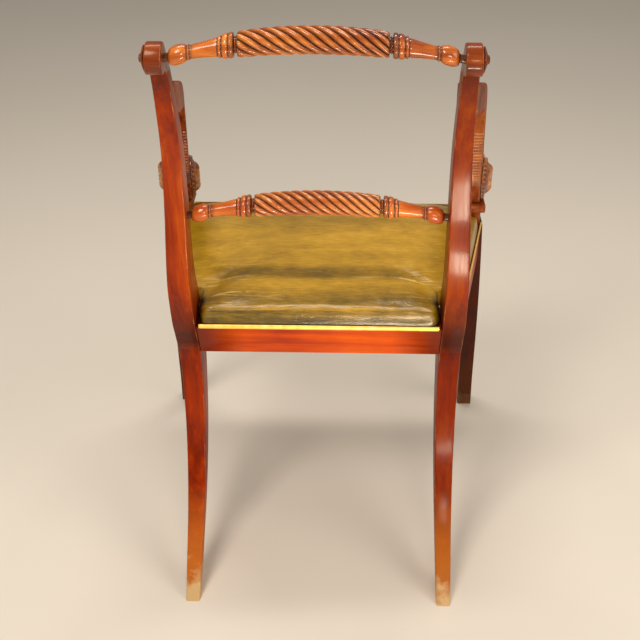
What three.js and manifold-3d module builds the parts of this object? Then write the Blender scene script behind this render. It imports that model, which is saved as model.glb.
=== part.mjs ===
// Open armchair of mahogany with rope-twist back rails, sabre legs and a stuffed leather seat.
// Millimetres, +Z up. The chair faces -Y, so "forward" below is a distance towards -Y that is
// counted from the heels of the rear feet, and the sitter's left is +X.
import * as THREE from 'three';
import { mergeVertices } from 'three/addons/utils/BufferGeometryUtils.js';
import Module from 'manifold-3d';

const wasm = await Module();
wasm.setup();

// Clearances and overruns shared by all joints
const fit = 0.3;
const overrun = 2;

// Rear uprights: a sabre leg below the seat rail and a scrolled stile above it
const scrollHeight = 816;
const legSweep = 147;
const footHalfGap = 175;
const uprightLean = 17;
const uprightWidth = 30.3;
const uprightDepth = 62;
const scrollRadius = 17.3;
const scrollForward = 8;
const tongueWidth = 8;
const tongueDepth = 34;
const tongueLength = 20;

// The seat rail's top as a share of the upright's height
const seatShare = 0.506;
// Share of the height, heel sweep, depth and width, each as a share of its size above
const uprightShares = [
  [0, 0, 0.484, 0.663],
  [0.049, 0.238, 0.5, 0.726],
  [0.11, 0.558, 0.532, 0.799],
  [0.184, 0.816, 0.581, 0.875],
  [0.27, 0.973, 0.645, 0.937],
  [0.355, 1, 0.742, 0.974],
  [0.417, 0.959, 0.871, 0.99],
  [0.456, 0.871, 1, 0.997],
  [0.484, 0.796, 1.02, 1],
  [0.515, 0.707, 1.01, 1],
  [0.551, 0.633, 0.968, 0.983],
  [0.6, 0.55, 0.839, 0.954],
  [0.662, 0.542, 0.677, 0.908],
  [0.735, 0.558, 0.565, 0.848],
  [0.833, 0.503, 0.468, 0.759],
  [0.931, 0.286, 0.387, 0.667],
  [0.98, 0.143, 0.355, 0.624],
];
const scrollNeckShare = 0.973;
const scrollUnderAngle = -58;
const scrollOverAngle = 52;

// Front legs
const frontLegSweep = 68;
const frontLegTopHeel = 425;
const frontLegDepth = 53;
const frontLegWidth = 28;
const frontFootOuter = 272.5;
const frontLegLean = 18.5;
// Height, heel sweep from top to foot, depth and width as shares
const frontLegShares = [
  [0, 1, 0.566, 0.893],
  [0.145, 0.853, 0.585, 0.879],
  [0.29, 0.632, 0.623, 0.893],
  [0.484, 0.338, 0.698, 0.929],
  [0.678, 0.118, 0.811, 0.964],
  [0.823, 0.029, 0.925, 1],
  [0.906, 0, 0.981, 1],
  [1, 0, 1, 1],
];

// Seat rails, their tenons and the corner blocks
const seatRailTop = 413;
const seatRailHeight = 59;
const seatRailThickness = 22;
const legJointRise = 6;
const rearRailRecess = 2.5;
const rearRailTopDepth = 42;
const sideRailStand = 2.3;
const sideRailFrontInset = 3.5;
const frontRailSetback = 2;
const tenonThickness = 9;
const tenonHeight = 26;
const tenonDrop = 9;
const tenonLength = 17;
const sideTenonLength = 20;
const blockLeg = 42;
const blockHeight = 24;
const blockDrop = 6;
const screwRadius = 2.2;
const screwHeadRadius = 4.4;
const screwHeadHeight = 2.2;
const screwReach = 11;
const screwInset = 13;

// Back rails: turned ends, a carved rope twist between them and a rise in the middle
const crestForward = 8;
const crestRise = 20;
const crestTwistRadius = 13.6;
const crestEndLength = 79;
const lowerRailHeight = 587;
const lowerRailInset = 17;
const lowerRailRise = 19;
const lowerTwistRadius = 14.2;
const lowerEndLength = 85;
const twistLead = 105;
const twistStarts = 8;
const twistSwellShare = 0.09;
const twistDepth = 3.2;
const railTenonRadius = 4.6;
const railTenonLength = 8;
// Place along the turned end from the upright, and radius as a share of the twist's radius
const turningShares = [
  [0.075, 0.34],
  [0.082, 0.6],
  [0.13, 0.75],
  [0.2, 0.8],
  [0.28, 0.74],
  [0.325, 0.6],
  [0.34, 0.7],
  [0.365, 0.68],
  [0.38, 0.53],
  [0.56, 0.62],
  [0.735, 0.75],
  [0.75, 0.88],
  [0.79, 0.86],
  [0.83, 0.92],
  [0.9, 0.98],
  [0.93, 0.9],
  [0.94, 0.53],
  [0.99, 0.5],
  [1.005, 0.8],
];

// Turned buttons on the outer ends of the scrolls
const buttonRadius = 13.5;
const buttonHeight = 6.5;
const buttonShankRadius = 2.6;
const buttonShankLength = 6;
const buttonShares = [
  [1, 0],
  [1, 0.15],
  [0.84, 0.3],
  [0.4, 0.62],
  [0.3, 0.9],
  [0.16, 1],
  [0, 1],
];

// Arms: a plank that falls from the stile to a round terminal over the front leg
const armTopDrop = 42;
const armRootDrop = 34;
const armRootCentre = 168.8;
const armSplay = 61.5;
const armHalf = 17.3;
const terminalOverLeg = 7;
const terminalStand = 47;
const terminalRadius = 38;
const armBlockBase = 30;
const armBlockHeight = 13.4;
const armBlockReach = 29;
const armBlockHalf = 21.7;
const armBlockShift = 1.2;
const armNeckHalfWidth = 12;
const armNeckDepth = 32;
const armNeckSetback = 2;
const ribPitch = 5.1;
const ribHeight = 1.4;
const ribCount = 14;
const armBlockLow = seatRailTop + armBlockBase;
const terminalHeight = armBlockLow + terminalStand;
const armTopHeight = scrollHeight - armTopDrop;
const armFall = armTopHeight - terminalHeight;
const terminalForward = frontLegTopHeel + terminalOverLeg;
// Splay and half thickness of the arm along its run from the stile to the terminal, as shares
const armPlanShares = [
  [0, 0, 0.636],
  [0.257, 0.25, 0.84],
  [0.52, 0.51, 0.985],
  [0.652, 0.637, 1],
  [0.784, 0.767, 1],
  [1, 1, 1],
  [1.1, 1.108, 1],
];
// Points of the arm's upper and under edges as shares of the run to the terminal and of the fall
const armUpperShares = [
  [0.177, 0.092],
  [0.388, 0.176],
  [0.568, 0.264],
  [0.694, 0.342],
  [0.784, 0.433],
  [0.839, 0.55],
  [0.873, 0.665],
  [0.91, 0.754],
  [0.968, 0.831],
];
const armUnderShares = [
  [0.177, 0.218],
  [0.388, 0.308],
  [0.552, 0.376],
  [0.665, 0.43],
  [0.736, 0.504],
  [0.773, 0.591],
];
const ribEdgeShares = [
  [0.784, 0.627],
  [0.797, 0.718],
  [0.808, 0.806],
  [0.831, 0.894],
  [0.868, 0.954],
];
const armUpperJoinAngle = 58;
const armUnderJoinAngle = 185;
const armUnderLeaveAngle = 215;
const dowelRadius = 4;
const dowelHalfLength = 11;
const neckPegHalfLength = 5;

// Carved rosettes on both faces of each terminal
const rosetteRadius = 33;
const rosetteHeight = 15.5;
const rosettePetals = 8;
const petalShare = 0.22;
const rosetteShares = [
  [1, 0],
  [1, 0.12],
  [0.95, 0.3],
  [0.82, 0.6],
  [0.62, 0.84],
  [0.4, 0.95],
  [0.2, 1],
  [0, 1],
];

// Stuffed seat: leather over horsehair, on hessian and webbing
const leatherThickness = 1.6;
const leatherRearInset = 8.4;
const leatherNotchInset = 0.8;
const leatherTuck = 32;
const leatherNotchGap = 2.4;
const leatherNotchSetback = 22;
const leatherNeckGap = 2.6;
const leatherFrontBow = 0.5;
const cushionSide = 28;
const cushionCrown = 15;
const strapWidth = 50;
const strapThickness = 1.5;
const hessianThickness = 0.8;
const strapSeat = 14;
const hessianInset = 9;
// Inset from the edge and height as shares of the side, up to where the crown begins
const cushionEdgeShares = [
  [0.04, 0],
  [0, 0.3],
  [0.06, 0.62],
  [0.28, 0.88],
  [0.68, 1],
];
const cushionRingShares = [0.82, 0.62, 0.4, 0.2];

// Brass strip that covers the leather's nailed edge
const stripThickness = 1.2;
const stripHeight = 6.6;
const stripLap = 1.6;
const stripRearInset = 4.4;

const wood = { color: 0x7a2f10, roughness: 0.3, metalness: 0 };
const innerWood = { color: 0xa9784a, roughness: 0.7, metalness: 0 };
const leather = { color: 0x7c6a20, roughness: 0.4, metalness: 0 };
const brass = { color: 0xc9a24a, roughness: 0.3, metalness: 1 };
const steel = { color: 0x77787a, roughness: 0.45, metalness: 1 };
const linen = { color: 0xa08a62, roughness: 0.95, metalness: 0 };
const hair = { color: 0x5b4a38, roughness: 1, metalness: 0 };

const chair = new THREE.Group();
const sides = [['left', 1], ['right', -1]];

function addPart(name, geometry, finish) {
  const material = new THREE.MeshStandardMaterial(finish);
  const mesh = new THREE.Mesh(geometry, material);
  mesh.name = name;
  chair.add(mesh);
}

// A smooth curve through rows whose first column is the place and whose others are values
function smoothAt(rows, place, column) {
  const last = rows.length - 1;
  let row = 0;
  while (row < last - 1 && place > rows[row + 1][0]) row += 1;
  const slopeAt = (index) => {
    const before = rows[Math.max(index - 1, 0)];
    const after = rows[Math.min(index + 1, last)];
    return (after[column] - before[column]) / (after[0] - before[0]);
  };
  const span = rows[row + 1][0] - rows[row][0];
  const t = (place - rows[row][0]) / span;
  const from = rows[row][column];
  const rise = rows[row + 1][column] - from;
  const leave = slopeAt(row) * span;
  const arrive = slopeAt(row + 1) * span;
  return from + t * (leave + t * (3 * rise - 2 * leave - arrive + t * (leave + arrive - 2 * rise)));
}

function splinePoints(points, steps) {
  return new THREE.SplineCurve(points).getPoints(steps);
}

function arcPoints(centre, radius, fromDegrees, toDegrees, steps) {
  const points = [];
  for (let step = 0; step <= steps; step += 1) {
    const angle = THREE.MathUtils.degToRad(fromDegrees + (toDegrees - fromDegrees) * step / steps);
    points.push(new THREE.Vector2(
      centre.x + radius * Math.cos(angle),
      centre.y + radius * Math.sin(angle),
    ));
  }
  return points;
}

// Moves every corner of a geometry, merges what meets and turns its faces outwards
function reshape(geometry, place) {
  const bare = geometry.clone();
  bare.deleteAttribute('normal');
  bare.deleteAttribute('uv');
  const position = bare.getAttribute('position');
  for (let corner = 0; corner < position.count; corner += 1) {
    const moved = place(position.getX(corner), position.getY(corner), position.getZ(corner));
    position.setXYZ(corner, moved[0], moved[1], moved[2]);
  }
  const merged = mergeVertices(bare, 1e-4);
  const index = merged.getIndex().array;
  const spots = merged.getAttribute('position');
  const kept = [];
  let volume = 0;
  const a = new THREE.Vector3();
  const b = new THREE.Vector3();
  const c = new THREE.Vector3();
  for (let first = 0; first < index.length; first += 3) {
    const [i, j, k] = [index[first], index[first + 1], index[first + 2]];
    if (i !== j && j !== k && k !== i) {
      kept.push(i, j, k);
      a.fromBufferAttribute(spots, i);
      b.fromBufferAttribute(spots, j);
      c.fromBufferAttribute(spots, k);
      volume += a.dot(b.cross(c));
    }
  }
  if (volume < 0) kept.reverse();
  merged.setIndex(kept);
  return merged;
}

// A flat outline carried through a unit thickness, with each corner placed by a function
function slab(outline, place) {
  const shape = new THREE.Shape(outline);
  const extruded = new THREE.ExtrudeGeometry(shape, { depth: 1, bevelEnabled: false, steps: 1 });
  return reshape(extruded, place);
}

function blockBetween(low, high) {
  const size = new THREE.Vector3().subVectors(high, low);
  const geometry = new THREE.BoxGeometry(size.x, size.y, size.z);
  geometry.translate((low.x + high.x) / 2, (low.y + high.y) / 2, (low.z + high.z) / 2);
  return reshape(geometry, (x, y, z) => [x, y, z]);
}

function rod(radius, length, direction, middle) {
  const geometry = new THREE.CylinderGeometry(radius, radius, length, 12);
  const turn = new THREE.Quaternion().setFromUnitVectors(
    new THREE.Vector3(0, 1, 0),
    direction.clone().normalize(),
  );
  geometry.applyQuaternion(turn);
  geometry.translate(middle.x, middle.y, middle.z);
  return reshape(geometry, (x, y, z) => [x, y, z]);
}

function toSolid(geometry) {
  return new wasm.Manifold(new wasm.Mesh({
    numProp: 3,
    vertProperties: Float32Array.from(geometry.getAttribute('position').array),
    triVerts: Uint32Array.from(geometry.getIndex().array),
  }));
}

function fromSolid(solid) {
  const mesh = solid.getMesh();
  const geometry = new THREE.BufferGeometry();
  geometry.setAttribute('position', new THREE.Float32BufferAttribute(mesh.vertProperties, 3));
  geometry.setIndex(Array.from(mesh.triVerts));
  return geometry;
}

function cut(geometry, cutters) {
  return fromSolid(cutters.reduce((left, cutter) => left.subtract(toSolid(cutter)), toSolid(geometry)));
}

function join(geometry, others) {
  return fromSolid(others.reduce((left, other) => left.add(toSolid(other)), toSolid(geometry)));
}

// Rear uprights
const seatRailBottom = seatRailTop - seatRailHeight;
const legJointHeight = seatRailBottom + legJointRise;
const crestHeight = scrollHeight;
const uprightShareAt = (height) => (
  height < seatRailTop
    ? seatShare * height / seatRailTop
    : seatShare + (1 - seatShare) * (height - seatRailTop) / (scrollHeight - seatRailTop)
);
const innerHalf = (height) => footHalfGap - uprightLean * height / scrollHeight;
const heelAt = (height) => legSweep * smoothAt(uprightShares, uprightShareAt(height), 1);
const depthAt = (height) => uprightDepth * smoothAt(uprightShares, uprightShareAt(height), 2);
const widthAt = (height) => uprightWidth * smoothAt(uprightShares, uprightShareAt(height), 3);
const faceAt = (height) => heelAt(height) + depthAt(height);
const seatInnerHalf = innerHalf(seatRailTop);

function heights(from, to, steps) {
  return Array.from({ length: steps + 1 }, (unused, step) => from + (to - from) * step / steps);
}

function uprightPlace(side) {
  return (forward, height, across) => [
    side * (innerHalf(height) + across * widthAt(height)),
    -forward,
    height,
  ];
}

function tongue(side, clearance) {
  const middleForward = heelAt(legJointHeight) + depthAt(legJointHeight) / 2;
  const middleAcross = innerHalf(legJointHeight) + widthAt(legJointHeight) / 2;
  const halfWidth = tongueWidth / 2 + clearance;
  const halfDepth = tongueDepth / 2 + clearance;
  const halfLength = tongueLength / 2 + clearance;
  const low = legJointHeight - halfLength;
  const high = legJointHeight + halfLength;
  return blockBetween(
    new THREE.Vector3(side * middleAcross - halfWidth, -middleForward - halfDepth, low),
    new THREE.Vector3(side * middleAcross + halfWidth, -middleForward + halfDepth, high),
  );
}

function rearLegGeometry(side) {
  const rows = heights(0, legJointHeight - fit, 14);
  const outline = [
    ...rows.map((height) => new THREE.Vector2(heelAt(height), height)),
    ...rows.reverse().map((height) => new THREE.Vector2(faceAt(height), height)),
  ];
  return cut(slab(outline, uprightPlace(side)), [tongue(side, fit)]);
}

const scrollCentre = new THREE.Vector2(scrollForward, scrollHeight);
const scrollAxisAcross = (side, across) => new THREE.Vector3(
  side * (innerHalf(scrollHeight) + across),
  -scrollForward,
  scrollHeight,
);

function stileGeometry(side) {
  const neckHeight = scrollHeight * scrollNeckShare;
  const rows = heights(legJointHeight, neckHeight, 26);
  const roll = arcPoints(scrollCentre, scrollRadius, scrollUnderAngle, scrollOverAngle - 360, 22);
  const outline = [
    ...rows.map((height) => new THREE.Vector2(heelAt(height), height)),
    ...roll,
    ...rows.reverse().map((height) => new THREE.Vector2(faceAt(height), height)),
  ];
  return slab(outline, uprightPlace(side));
}

// Seat rails
const frontLegOuter = (height) => frontFootOuter - frontLegLean * height / seatRailTop;
const frontLegInner = (height) => (
  frontLegOuter(height) - frontLegWidth * smoothAt(frontLegShares, height / seatRailTop, 3)
);
const frontHeelAt = (height) => (
  frontLegTopHeel + frontLegSweep * smoothAt(frontLegShares, height / seatRailTop, 1)
);
const frontFaceAt = (height) => (
  frontHeelAt(height) + frontLegDepth * smoothAt(frontLegShares, height / seatRailTop, 2)
);
const sideRailRear = faceAt(seatRailTop);
const sideRailRearOuter = seatInnerHalf + widthAt(seatRailTop) + sideRailStand;
const sideRailFrontOuter = frontLegOuter(seatRailTop) - sideRailFrontInset;
const sideRailOuter = (forward) => (
  sideRailRearOuter
  + (sideRailFrontOuter - sideRailRearOuter) * (forward - sideRailRear) / (frontLegTopHeel - sideRailRear)
);
const tenonHigh = seatRailTop - tenonDrop;
const tenonLow = tenonHigh - tenonHeight;
const rearFaceAt = (height) => heelAt(height) + rearRailRecess;
const rearRailFace = rearFaceAt(seatRailTop) + rearRailTopDepth;
const rearRailMiddle = (rearFaceAt(tenonLow) + rearRailFace) / 2;
const frontRailFace = frontLegTopHeel + frontLegDepth - frontRailSetback;
const frontRailMiddle = frontRailFace - seatRailThickness / 2;

// A tenon across the chair, from the inner face of an upright or leg into it
function crossTenon(side, inner, middleForward, clearance) {
  const near = inner - overrun - clearance;
  const far = inner + tenonLength + clearance;
  const halfThick = tenonThickness / 2 + clearance;
  const [low, high] = [tenonLow - clearance, tenonHigh + clearance];
  const [from, to] = [Math.min(side * near, side * far), Math.max(side * near, side * far)];
  return blockBetween(
    new THREE.Vector3(from, -middleForward - halfThick, low),
    new THREE.Vector3(to, -middleForward + halfThick, high),
  );
}

// A tenon along the side rail, from its end into the stile or the front leg
function sideTenon(side, fromForward, toForward, clearance) {
  const outline = [
    new THREE.Vector2(fromForward - clearance, tenonLow - clearance),
    new THREE.Vector2(toForward + clearance, tenonLow - clearance),
    new THREE.Vector2(toForward + clearance, tenonHigh + clearance),
    new THREE.Vector2(fromForward - clearance, tenonHigh + clearance),
  ];
  const inset = (seatRailThickness - tenonThickness) / 2;
  return slab(outline, (forward, height, across) => [
    side * (sideRailOuter(forward) - inset + clearance - across * (tenonThickness + 2 * clearance)),
    -forward,
    height,
  ]);
}

function crossRail(rearAt, face, halfAt) {
  const outline = [
    ...heights(seatRailBottom, seatRailTop, 5).map((height) => new THREE.Vector2(rearAt(height), height)),
    new THREE.Vector2(face, seatRailTop),
    new THREE.Vector2(face, seatRailBottom),
  ];
  return slab(outline, (forward, height, across) => [
    (2 * across - 1) * (halfAt(height) - fit),
    -forward,
    height,
  ]);
}

function sideRailGeometry(side) {
  const rows = heights(seatRailBottom, seatRailTop, 5);
  const outline = [
    ...rows.map((height) => new THREE.Vector2(faceAt(height) + fit, height)),
    new THREE.Vector2(frontLegTopHeel - fit, seatRailTop),
    new THREE.Vector2(frontLegTopHeel - fit, seatRailBottom),
  ];
  const body = slab(outline, (forward, height, across) => [
    side * (sideRailOuter(forward) - across * seatRailThickness),
    -forward,
    height,
  ]);
  return join(body, [
    sideTenon(side, faceAt(seatRailTop) - sideTenonLength, faceAt(seatRailBottom) + overrun, 0),
    sideTenon(side, frontLegTopHeel - overrun, frontLegTopHeel + sideTenonLength, 0),
  ]);
}

// Arms
const armRootForward = faceAt(armTopHeight) + fit;
const armRun = terminalForward - armRootForward;
const armShareAt = (forward, column) => (
  smoothAt(armPlanShares, (forward - armRootForward) / armRun, column)
);
const armCentre = (forward) => armRootCentre + armSplay * armShareAt(forward, 1);
const armHalfWidth = (forward) => armHalf * armShareAt(forward, 2);
const terminalCentre = new THREE.Vector2(terminalForward, terminalHeight);
const armPoint = ([run, fall]) => new THREE.Vector2(
  armRootForward + run * armRun,
  armTopHeight - fall * armFall,
);

function armPlace(side) {
  return (forward, height, across) => [
    side * (armCentre(forward) + (2 * across - 1) * armHalfWidth(forward)),
    -forward,
    height,
  ];
}

// Ribs run across the under edge where it turns down, and the edge is smooth below them
function ribbedEdge() {
  const path = [
    ...ribEdgeShares.map(armPoint),
    ...arcPoints(terminalCentre, terminalRadius, armUnderJoinAngle, armUnderLeaveAngle, 3),
  ];
  const curve = new THREE.SplineCurve(path);
  const length = curve.getLength();
  const points = [];
  for (let rib = 0; rib < ribCount; rib += 1) {
    for (const [within, lift] of [[0, 0], [0.3, 1], [0.7, 1]]) {
      const u = (rib + within) * ribPitch / length;
      const spot = curve.getPointAt(u);
      const along = curve.getTangentAt(u);
      points.push(new THREE.Vector2(
        spot.x + along.y * lift * ribHeight,
        spot.y - along.x * lift * ribHeight,
      ));
    }
  }
  const ribbed = ribCount * ribPitch;
  const steps = 8;
  for (let step = 0; step <= steps; step += 1) {
    points.push(curve.getPointAt((ribbed + (length - ribbed) * step / steps) / length));
  }
  return points;
}

function armOutline() {
  const rootRows = heights(armTopHeight - armRootDrop, armTopHeight, 4);
  const root = rootRows.map((height) => new THREE.Vector2(faceAt(height) + fit, height));
  const upper = splinePoints([root[root.length - 1], ...armUpperShares.map(armPoint)], 22);
  const under = splinePoints([root[0], ...armUnderShares.map(armPoint)], 14);
  const round = arcPoints(terminalCentre, terminalRadius, armUpperJoinAngle, -38, 6);
  const block = [
    new THREE.Vector2(terminalForward + armBlockReach - overrun, armBlockLow + armBlockHeight),
    new THREE.Vector2(terminalForward + armBlockReach - overrun, armBlockLow + overrun),
    new THREE.Vector2(terminalForward - armBlockReach + overrun, armBlockLow + overrun),
    new THREE.Vector2(terminalForward - armBlockReach + overrun, armBlockLow + armBlockHeight),
  ];
  return [
    ...root,
    ...upper.slice(1),
    ...round,
    ...block,
    ...ribbedEdge().reverse(),
    ...under.slice(1).reverse(),
  ];
}

const legTopAcross = (frontLegOuter(seatRailTop) + frontLegInner(seatRailTop)) / 2;
const neckAcross = Math.min(armCentre(terminalForward) + armNeckHalfWidth / 2, legTopAcross);
const neckForward = terminalForward + armNeckSetback;

// The wide block under the terminal
function armBlock(side) {
  const middle = side * (armCentre(terminalForward) + armBlockShift);
  const high = armBlockLow + armBlockHeight;
  return blockBetween(
    new THREE.Vector3(middle - armBlockHalf, -terminalForward - armBlockReach, armBlockLow),
    new THREE.Vector3(middle + armBlockHalf, -terminalForward + armBlockReach, high),
  );
}

function armNeck(side) {
  const middle = side * neckAcross;
  const rear = armNeckDepth / 2 - neckForward;
  return blockBetween(
    new THREE.Vector3(middle - armNeckHalfWidth, rear - armNeckDepth, seatRailTop + fit),
    new THREE.Vector3(middle + armNeckHalfWidth, rear, armBlockLow + overrun),
  );
}

const rootMiddleHeight = armTopHeight - armRootDrop / 2;

// Pegs between the stile and the arm's root, and between the arm's neck and the front leg
function rootPeg(side, radius, halfLength) {
  const middle = new THREE.Vector3(
    side * armCentre(faceAt(rootMiddleHeight)),
    -faceAt(rootMiddleHeight) - fit / 2,
    rootMiddleHeight,
  );
  return rod(radius, 2 * halfLength, new THREE.Vector3(0, 1, 0), middle);
}

function neckPeg(side, radius, halfLength) {
  const middle = new THREE.Vector3(
    side * neckAcross,
    -neckForward,
    seatRailTop + fit / 2,
  );
  return rod(radius, 2 * halfLength, new THREE.Vector3(0, 0, 1), middle);
}

function rosetteGeometry(side, face) {
  const profile = [
    new THREE.Vector2(0, 0),
    ...rosetteShares.map(([r, h]) => new THREE.Vector2(r * rosetteRadius, h * rosetteHeight)),
  ];
  const lathe = new THREE.LatheGeometry(profile, rosettePetals * 4);
  return reshape(lathe, (x, stand, y) => {
    const angle = Math.atan2(y, x);
    const reach = Math.hypot(x, y) / rosetteRadius;
    const carved = reach > 0.25 ? petalShare * (0.5 - 0.5 * Math.cos(rosettePetals * angle)) : 0;
    const forward = terminalForward + x * (1 - carved / 2);
    const height = terminalHeight + y * (1 - carved / 2);
    const proud = armHalfWidth(forward) + fit + stand * (1 - carved);
    return [side * (armCentre(forward) + face * proud), -forward, height];
  });
}

// Back rails
function backRail(half, height, forward, rise, radius, endLength) {
  const twistHalf = half - endLength;
  const twistRows = 20;
  const end = [
    new THREE.Vector2(0, half + railTenonLength),
    new THREE.Vector2(railTenonRadius, half + railTenonLength),
    new THREE.Vector2(railTenonRadius, half),
    ...turningShares.map(([place, r]) => new THREE.Vector2(r * radius, half - place * endLength)),
  ];
  const mirrored = end.map((point) => new THREE.Vector2(point.x, -point.y)).reverse();
  const middle = [];
  for (let row = 0; row <= twistRows; row += 1) {
    const share = 1 - 2 * row / twistRows;
    middle.push(new THREE.Vector2(radius, share * (twistHalf - overrun)));
  }
  const lathe = new THREE.LatheGeometry([...end, ...middle, ...mirrored], twistStarts * 4);
  return reshape(lathe, (x, along, y) => {
    const held = THREE.MathUtils.clamp(along, -twistHalf, twistHalf);
    const within = Math.abs(along) < twistHalf - overrun / 2;
    const angle = Math.atan2(x, y);
    const groove = within ? twistDepth * (0.5 - 0.5 * Math.cos(twistStarts * angle)) : 0;
    const turned = angle - 2 * Math.PI * held / twistLead;
    const swell = 1 + twistSwellShare * (1 - (held / twistHalf) ** 2);
    const reach = Math.hypot(x, y) * swell - groove;
    const spread = Math.min(Math.abs(along) / half, 1);
    return [
      along,
      -forward + reach * Math.sin(turned),
      height + rise * (1 - spread * spread) + reach * Math.cos(turned),
    ];
  });
}

const lowerForward = heelAt(lowerRailHeight) + lowerRailInset;

function railBore(side, height, forward) {
  const length = railTenonLength + overrun;
  return rod(railTenonRadius + fit, length, new THREE.Vector3(1, 0, 0), new THREE.Vector3(
    side * (innerHalf(height) + (railTenonLength + fit - overrun) / 2),
    -forward,
    height,
  ));
}

function buttonGeometry(side) {
  const profile = [
    new THREE.Vector2(0, -buttonShankLength),
    new THREE.Vector2(buttonShankRadius, -buttonShankLength),
    new THREE.Vector2(buttonShankRadius, 0),
    ...buttonShares.map(([r, h]) => new THREE.Vector2(r * buttonRadius, h * buttonHeight)),
  ];
  const base = scrollAxisAcross(side, widthAt(scrollHeight * scrollNeckShare) + fit);
  return reshape(new THREE.LatheGeometry(profile, 20), (x, stand, y) => [
    base.x + side * stand,
    base.y + x,
    base.z + y,
  ]);
}

function buttonBore(side) {
  const length = buttonShankLength + overrun;
  const middle = widthAt(scrollHeight * scrollNeckShare) + (overrun - buttonShankLength) / 2;
  const centre = scrollAxisAcross(side, middle);
  return rod(buttonShankRadius + fit, length, new THREE.Vector3(1, 0, 0), centre);
}

for (const [word, side] of sides) {
  addPart(`rear_leg_${word}`, rearLegGeometry(side), wood);
  addPart(`rear_leg_tongue_${word}`, tongue(side, 0), innerWood);
  const stile = cut(stileGeometry(side), [
    tongue(side, fit),
    crossTenon(side, seatInnerHalf, rearRailMiddle, fit),
    sideTenon(side, faceAt(seatRailTop) - sideTenonLength, faceAt(seatRailBottom) + overrun, fit),
    railBore(side, crestHeight, crestForward),
    railBore(side, lowerRailHeight, lowerForward),
    buttonBore(side),
    rootPeg(side, dowelRadius + fit, dowelHalfLength + fit),
  ]);
  addPart(`stile_${word}`, stile, wood);
  addPart(`scroll_button_${word}`, buttonGeometry(side), wood);
}

function frontLegGeometry(side) {
  const rows = heights(0, seatRailTop, 16);
  const outline = [
    ...rows.map((height) => new THREE.Vector2(frontHeelAt(height), height)),
    ...rows.reverse().map((height) => new THREE.Vector2(frontFaceAt(height), height)),
  ];
  const body = slab(outline, (forward, height, across) => [
    side * (frontLegInner(height) + across * (frontLegOuter(height) - frontLegInner(height))),
    -forward,
    height,
  ]);
  return cut(body, [
    crossTenon(side, frontLegInner(seatRailTop), frontRailMiddle, fit),
    sideTenon(side, frontLegTopHeel - overrun, frontLegTopHeel + sideTenonLength, fit),
    neckPeg(side, dowelRadius + fit, neckPegHalfLength + fit),
  ]);
}

for (const [word, side] of sides) {
  addPart(`front_leg_${word}`, frontLegGeometry(side), wood);
  addPart(`side_seat_rail_${word}`, sideRailGeometry(side), wood);
}

const rearTenons = sides.map(([, side]) => crossTenon(side, seatInnerHalf, rearRailMiddle, 0));
addPart('rear_seat_rail', join(crossRail(rearFaceAt, rearRailFace, innerHalf), rearTenons), wood);
const frontRailRear = () => frontRailFace - seatRailThickness;
const frontRail = crossRail(frontRailRear, frontRailFace, frontLegInner);
const legTopInner = frontLegInner(seatRailTop);
const frontTenons = sides.map(([, side]) => crossTenon(side, legTopInner, frontRailMiddle, 0));
addPart('front_seat_rail', join(frontRail, frontTenons), wood);

for (const [word, side] of sides) {
  const arm = join(slab(armOutline(), armPlace(side)), [armBlock(side), armNeck(side)]);
  const pegged = cut(arm, [
    rootPeg(side, dowelRadius + fit, dowelHalfLength + fit),
    neckPeg(side, dowelRadius + fit, neckPegHalfLength + fit),
  ]);
  addPart(`arm_${word}`, pegged, wood);
  addPart(`arm_root_peg_${word}`, rootPeg(side, dowelRadius, dowelHalfLength), innerWood);
  addPart(`arm_neck_peg_${word}`, neckPeg(side, dowelRadius, neckPegHalfLength), innerWood);
  addPart(`inner_rosette_${word}`, rosetteGeometry(side, -1), wood);
  addPart(`outer_rosette_${word}`, rosetteGeometry(side, 1), wood);
}

addPart('crest_rail', backRail(
  innerHalf(crestHeight),
  crestHeight,
  crestForward,
  crestRise,
  crestTwistRadius,
  crestEndLength,
), wood);
addPart('lower_back_rail', backRail(
  innerHalf(lowerRailHeight),
  lowerRailHeight,
  lowerForward,
  lowerRailRise,
  lowerTwistRadius,
  lowerEndLength,
), wood);

// Corner blocks, each glued into its corner and held by two screws
const blockTop = seatRailTop - blockDrop;
const blockCorners = [
  ['rear', rearRailFace + fit, 1, seatInnerHalf - fit],
  ['front', frontRailFace - seatRailThickness - fit, -1, frontLegInner(seatRailTop) - fit],
];

function cornerBlock(side, heel, along, half) {
  const tip = heel + along * blockLeg;
  const tipAcross = Math.min(half, sideRailOuter(tip) - seatRailThickness - fit);
  const outline = [
    new THREE.Vector2(half, heel),
    new THREE.Vector2(half - blockLeg, heel),
    new THREE.Vector2(tipAcross, tip),
  ];
  return slab(outline, (across, forward, up) => [
    side * across,
    -forward,
    blockTop - up * blockHeight,
  ]);
}

function screwAt(side, heel, along, half) {
  const profile = [
    new THREE.Vector2(0, -screwReach),
    new THREE.Vector2(screwRadius, -screwReach),
    new THREE.Vector2(screwRadius, 0),
    new THREE.Vector2(screwHeadRadius, 0),
    new THREE.Vector2(screwHeadRadius, screwHeadHeight),
    new THREE.Vector2(0, screwHeadHeight),
  ];
  const low = blockTop - blockHeight;
  return reshape(new THREE.LatheGeometry(profile, 10), (x, stand, y) => [
    side * (half - screwInset) + x,
    -(heel + along * screwInset) + y,
    low - fit - stand,
  ]);
}

for (const [word, side] of sides) {
  for (const [place, heel, along, half] of blockCorners) {
    const block = cornerBlock(side, heel, along, half);
    const holeMiddle = new THREE.Vector3(
      side * (half - screwInset),
      -(heel + along * screwInset),
      blockTop - blockHeight,
    );
    const holeLength = 2 * (screwReach + overrun);
    const hole = rod(screwRadius + fit, holeLength, new THREE.Vector3(0, 0, 1), holeMiddle);
    addPart(`corner_block_${place}_${word}`, cut(block, [hole]), innerWood);
    addPart(`corner_screw_${place}_${word}`, screwAt(side, heel, along, half), steel);
  }
}

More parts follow.
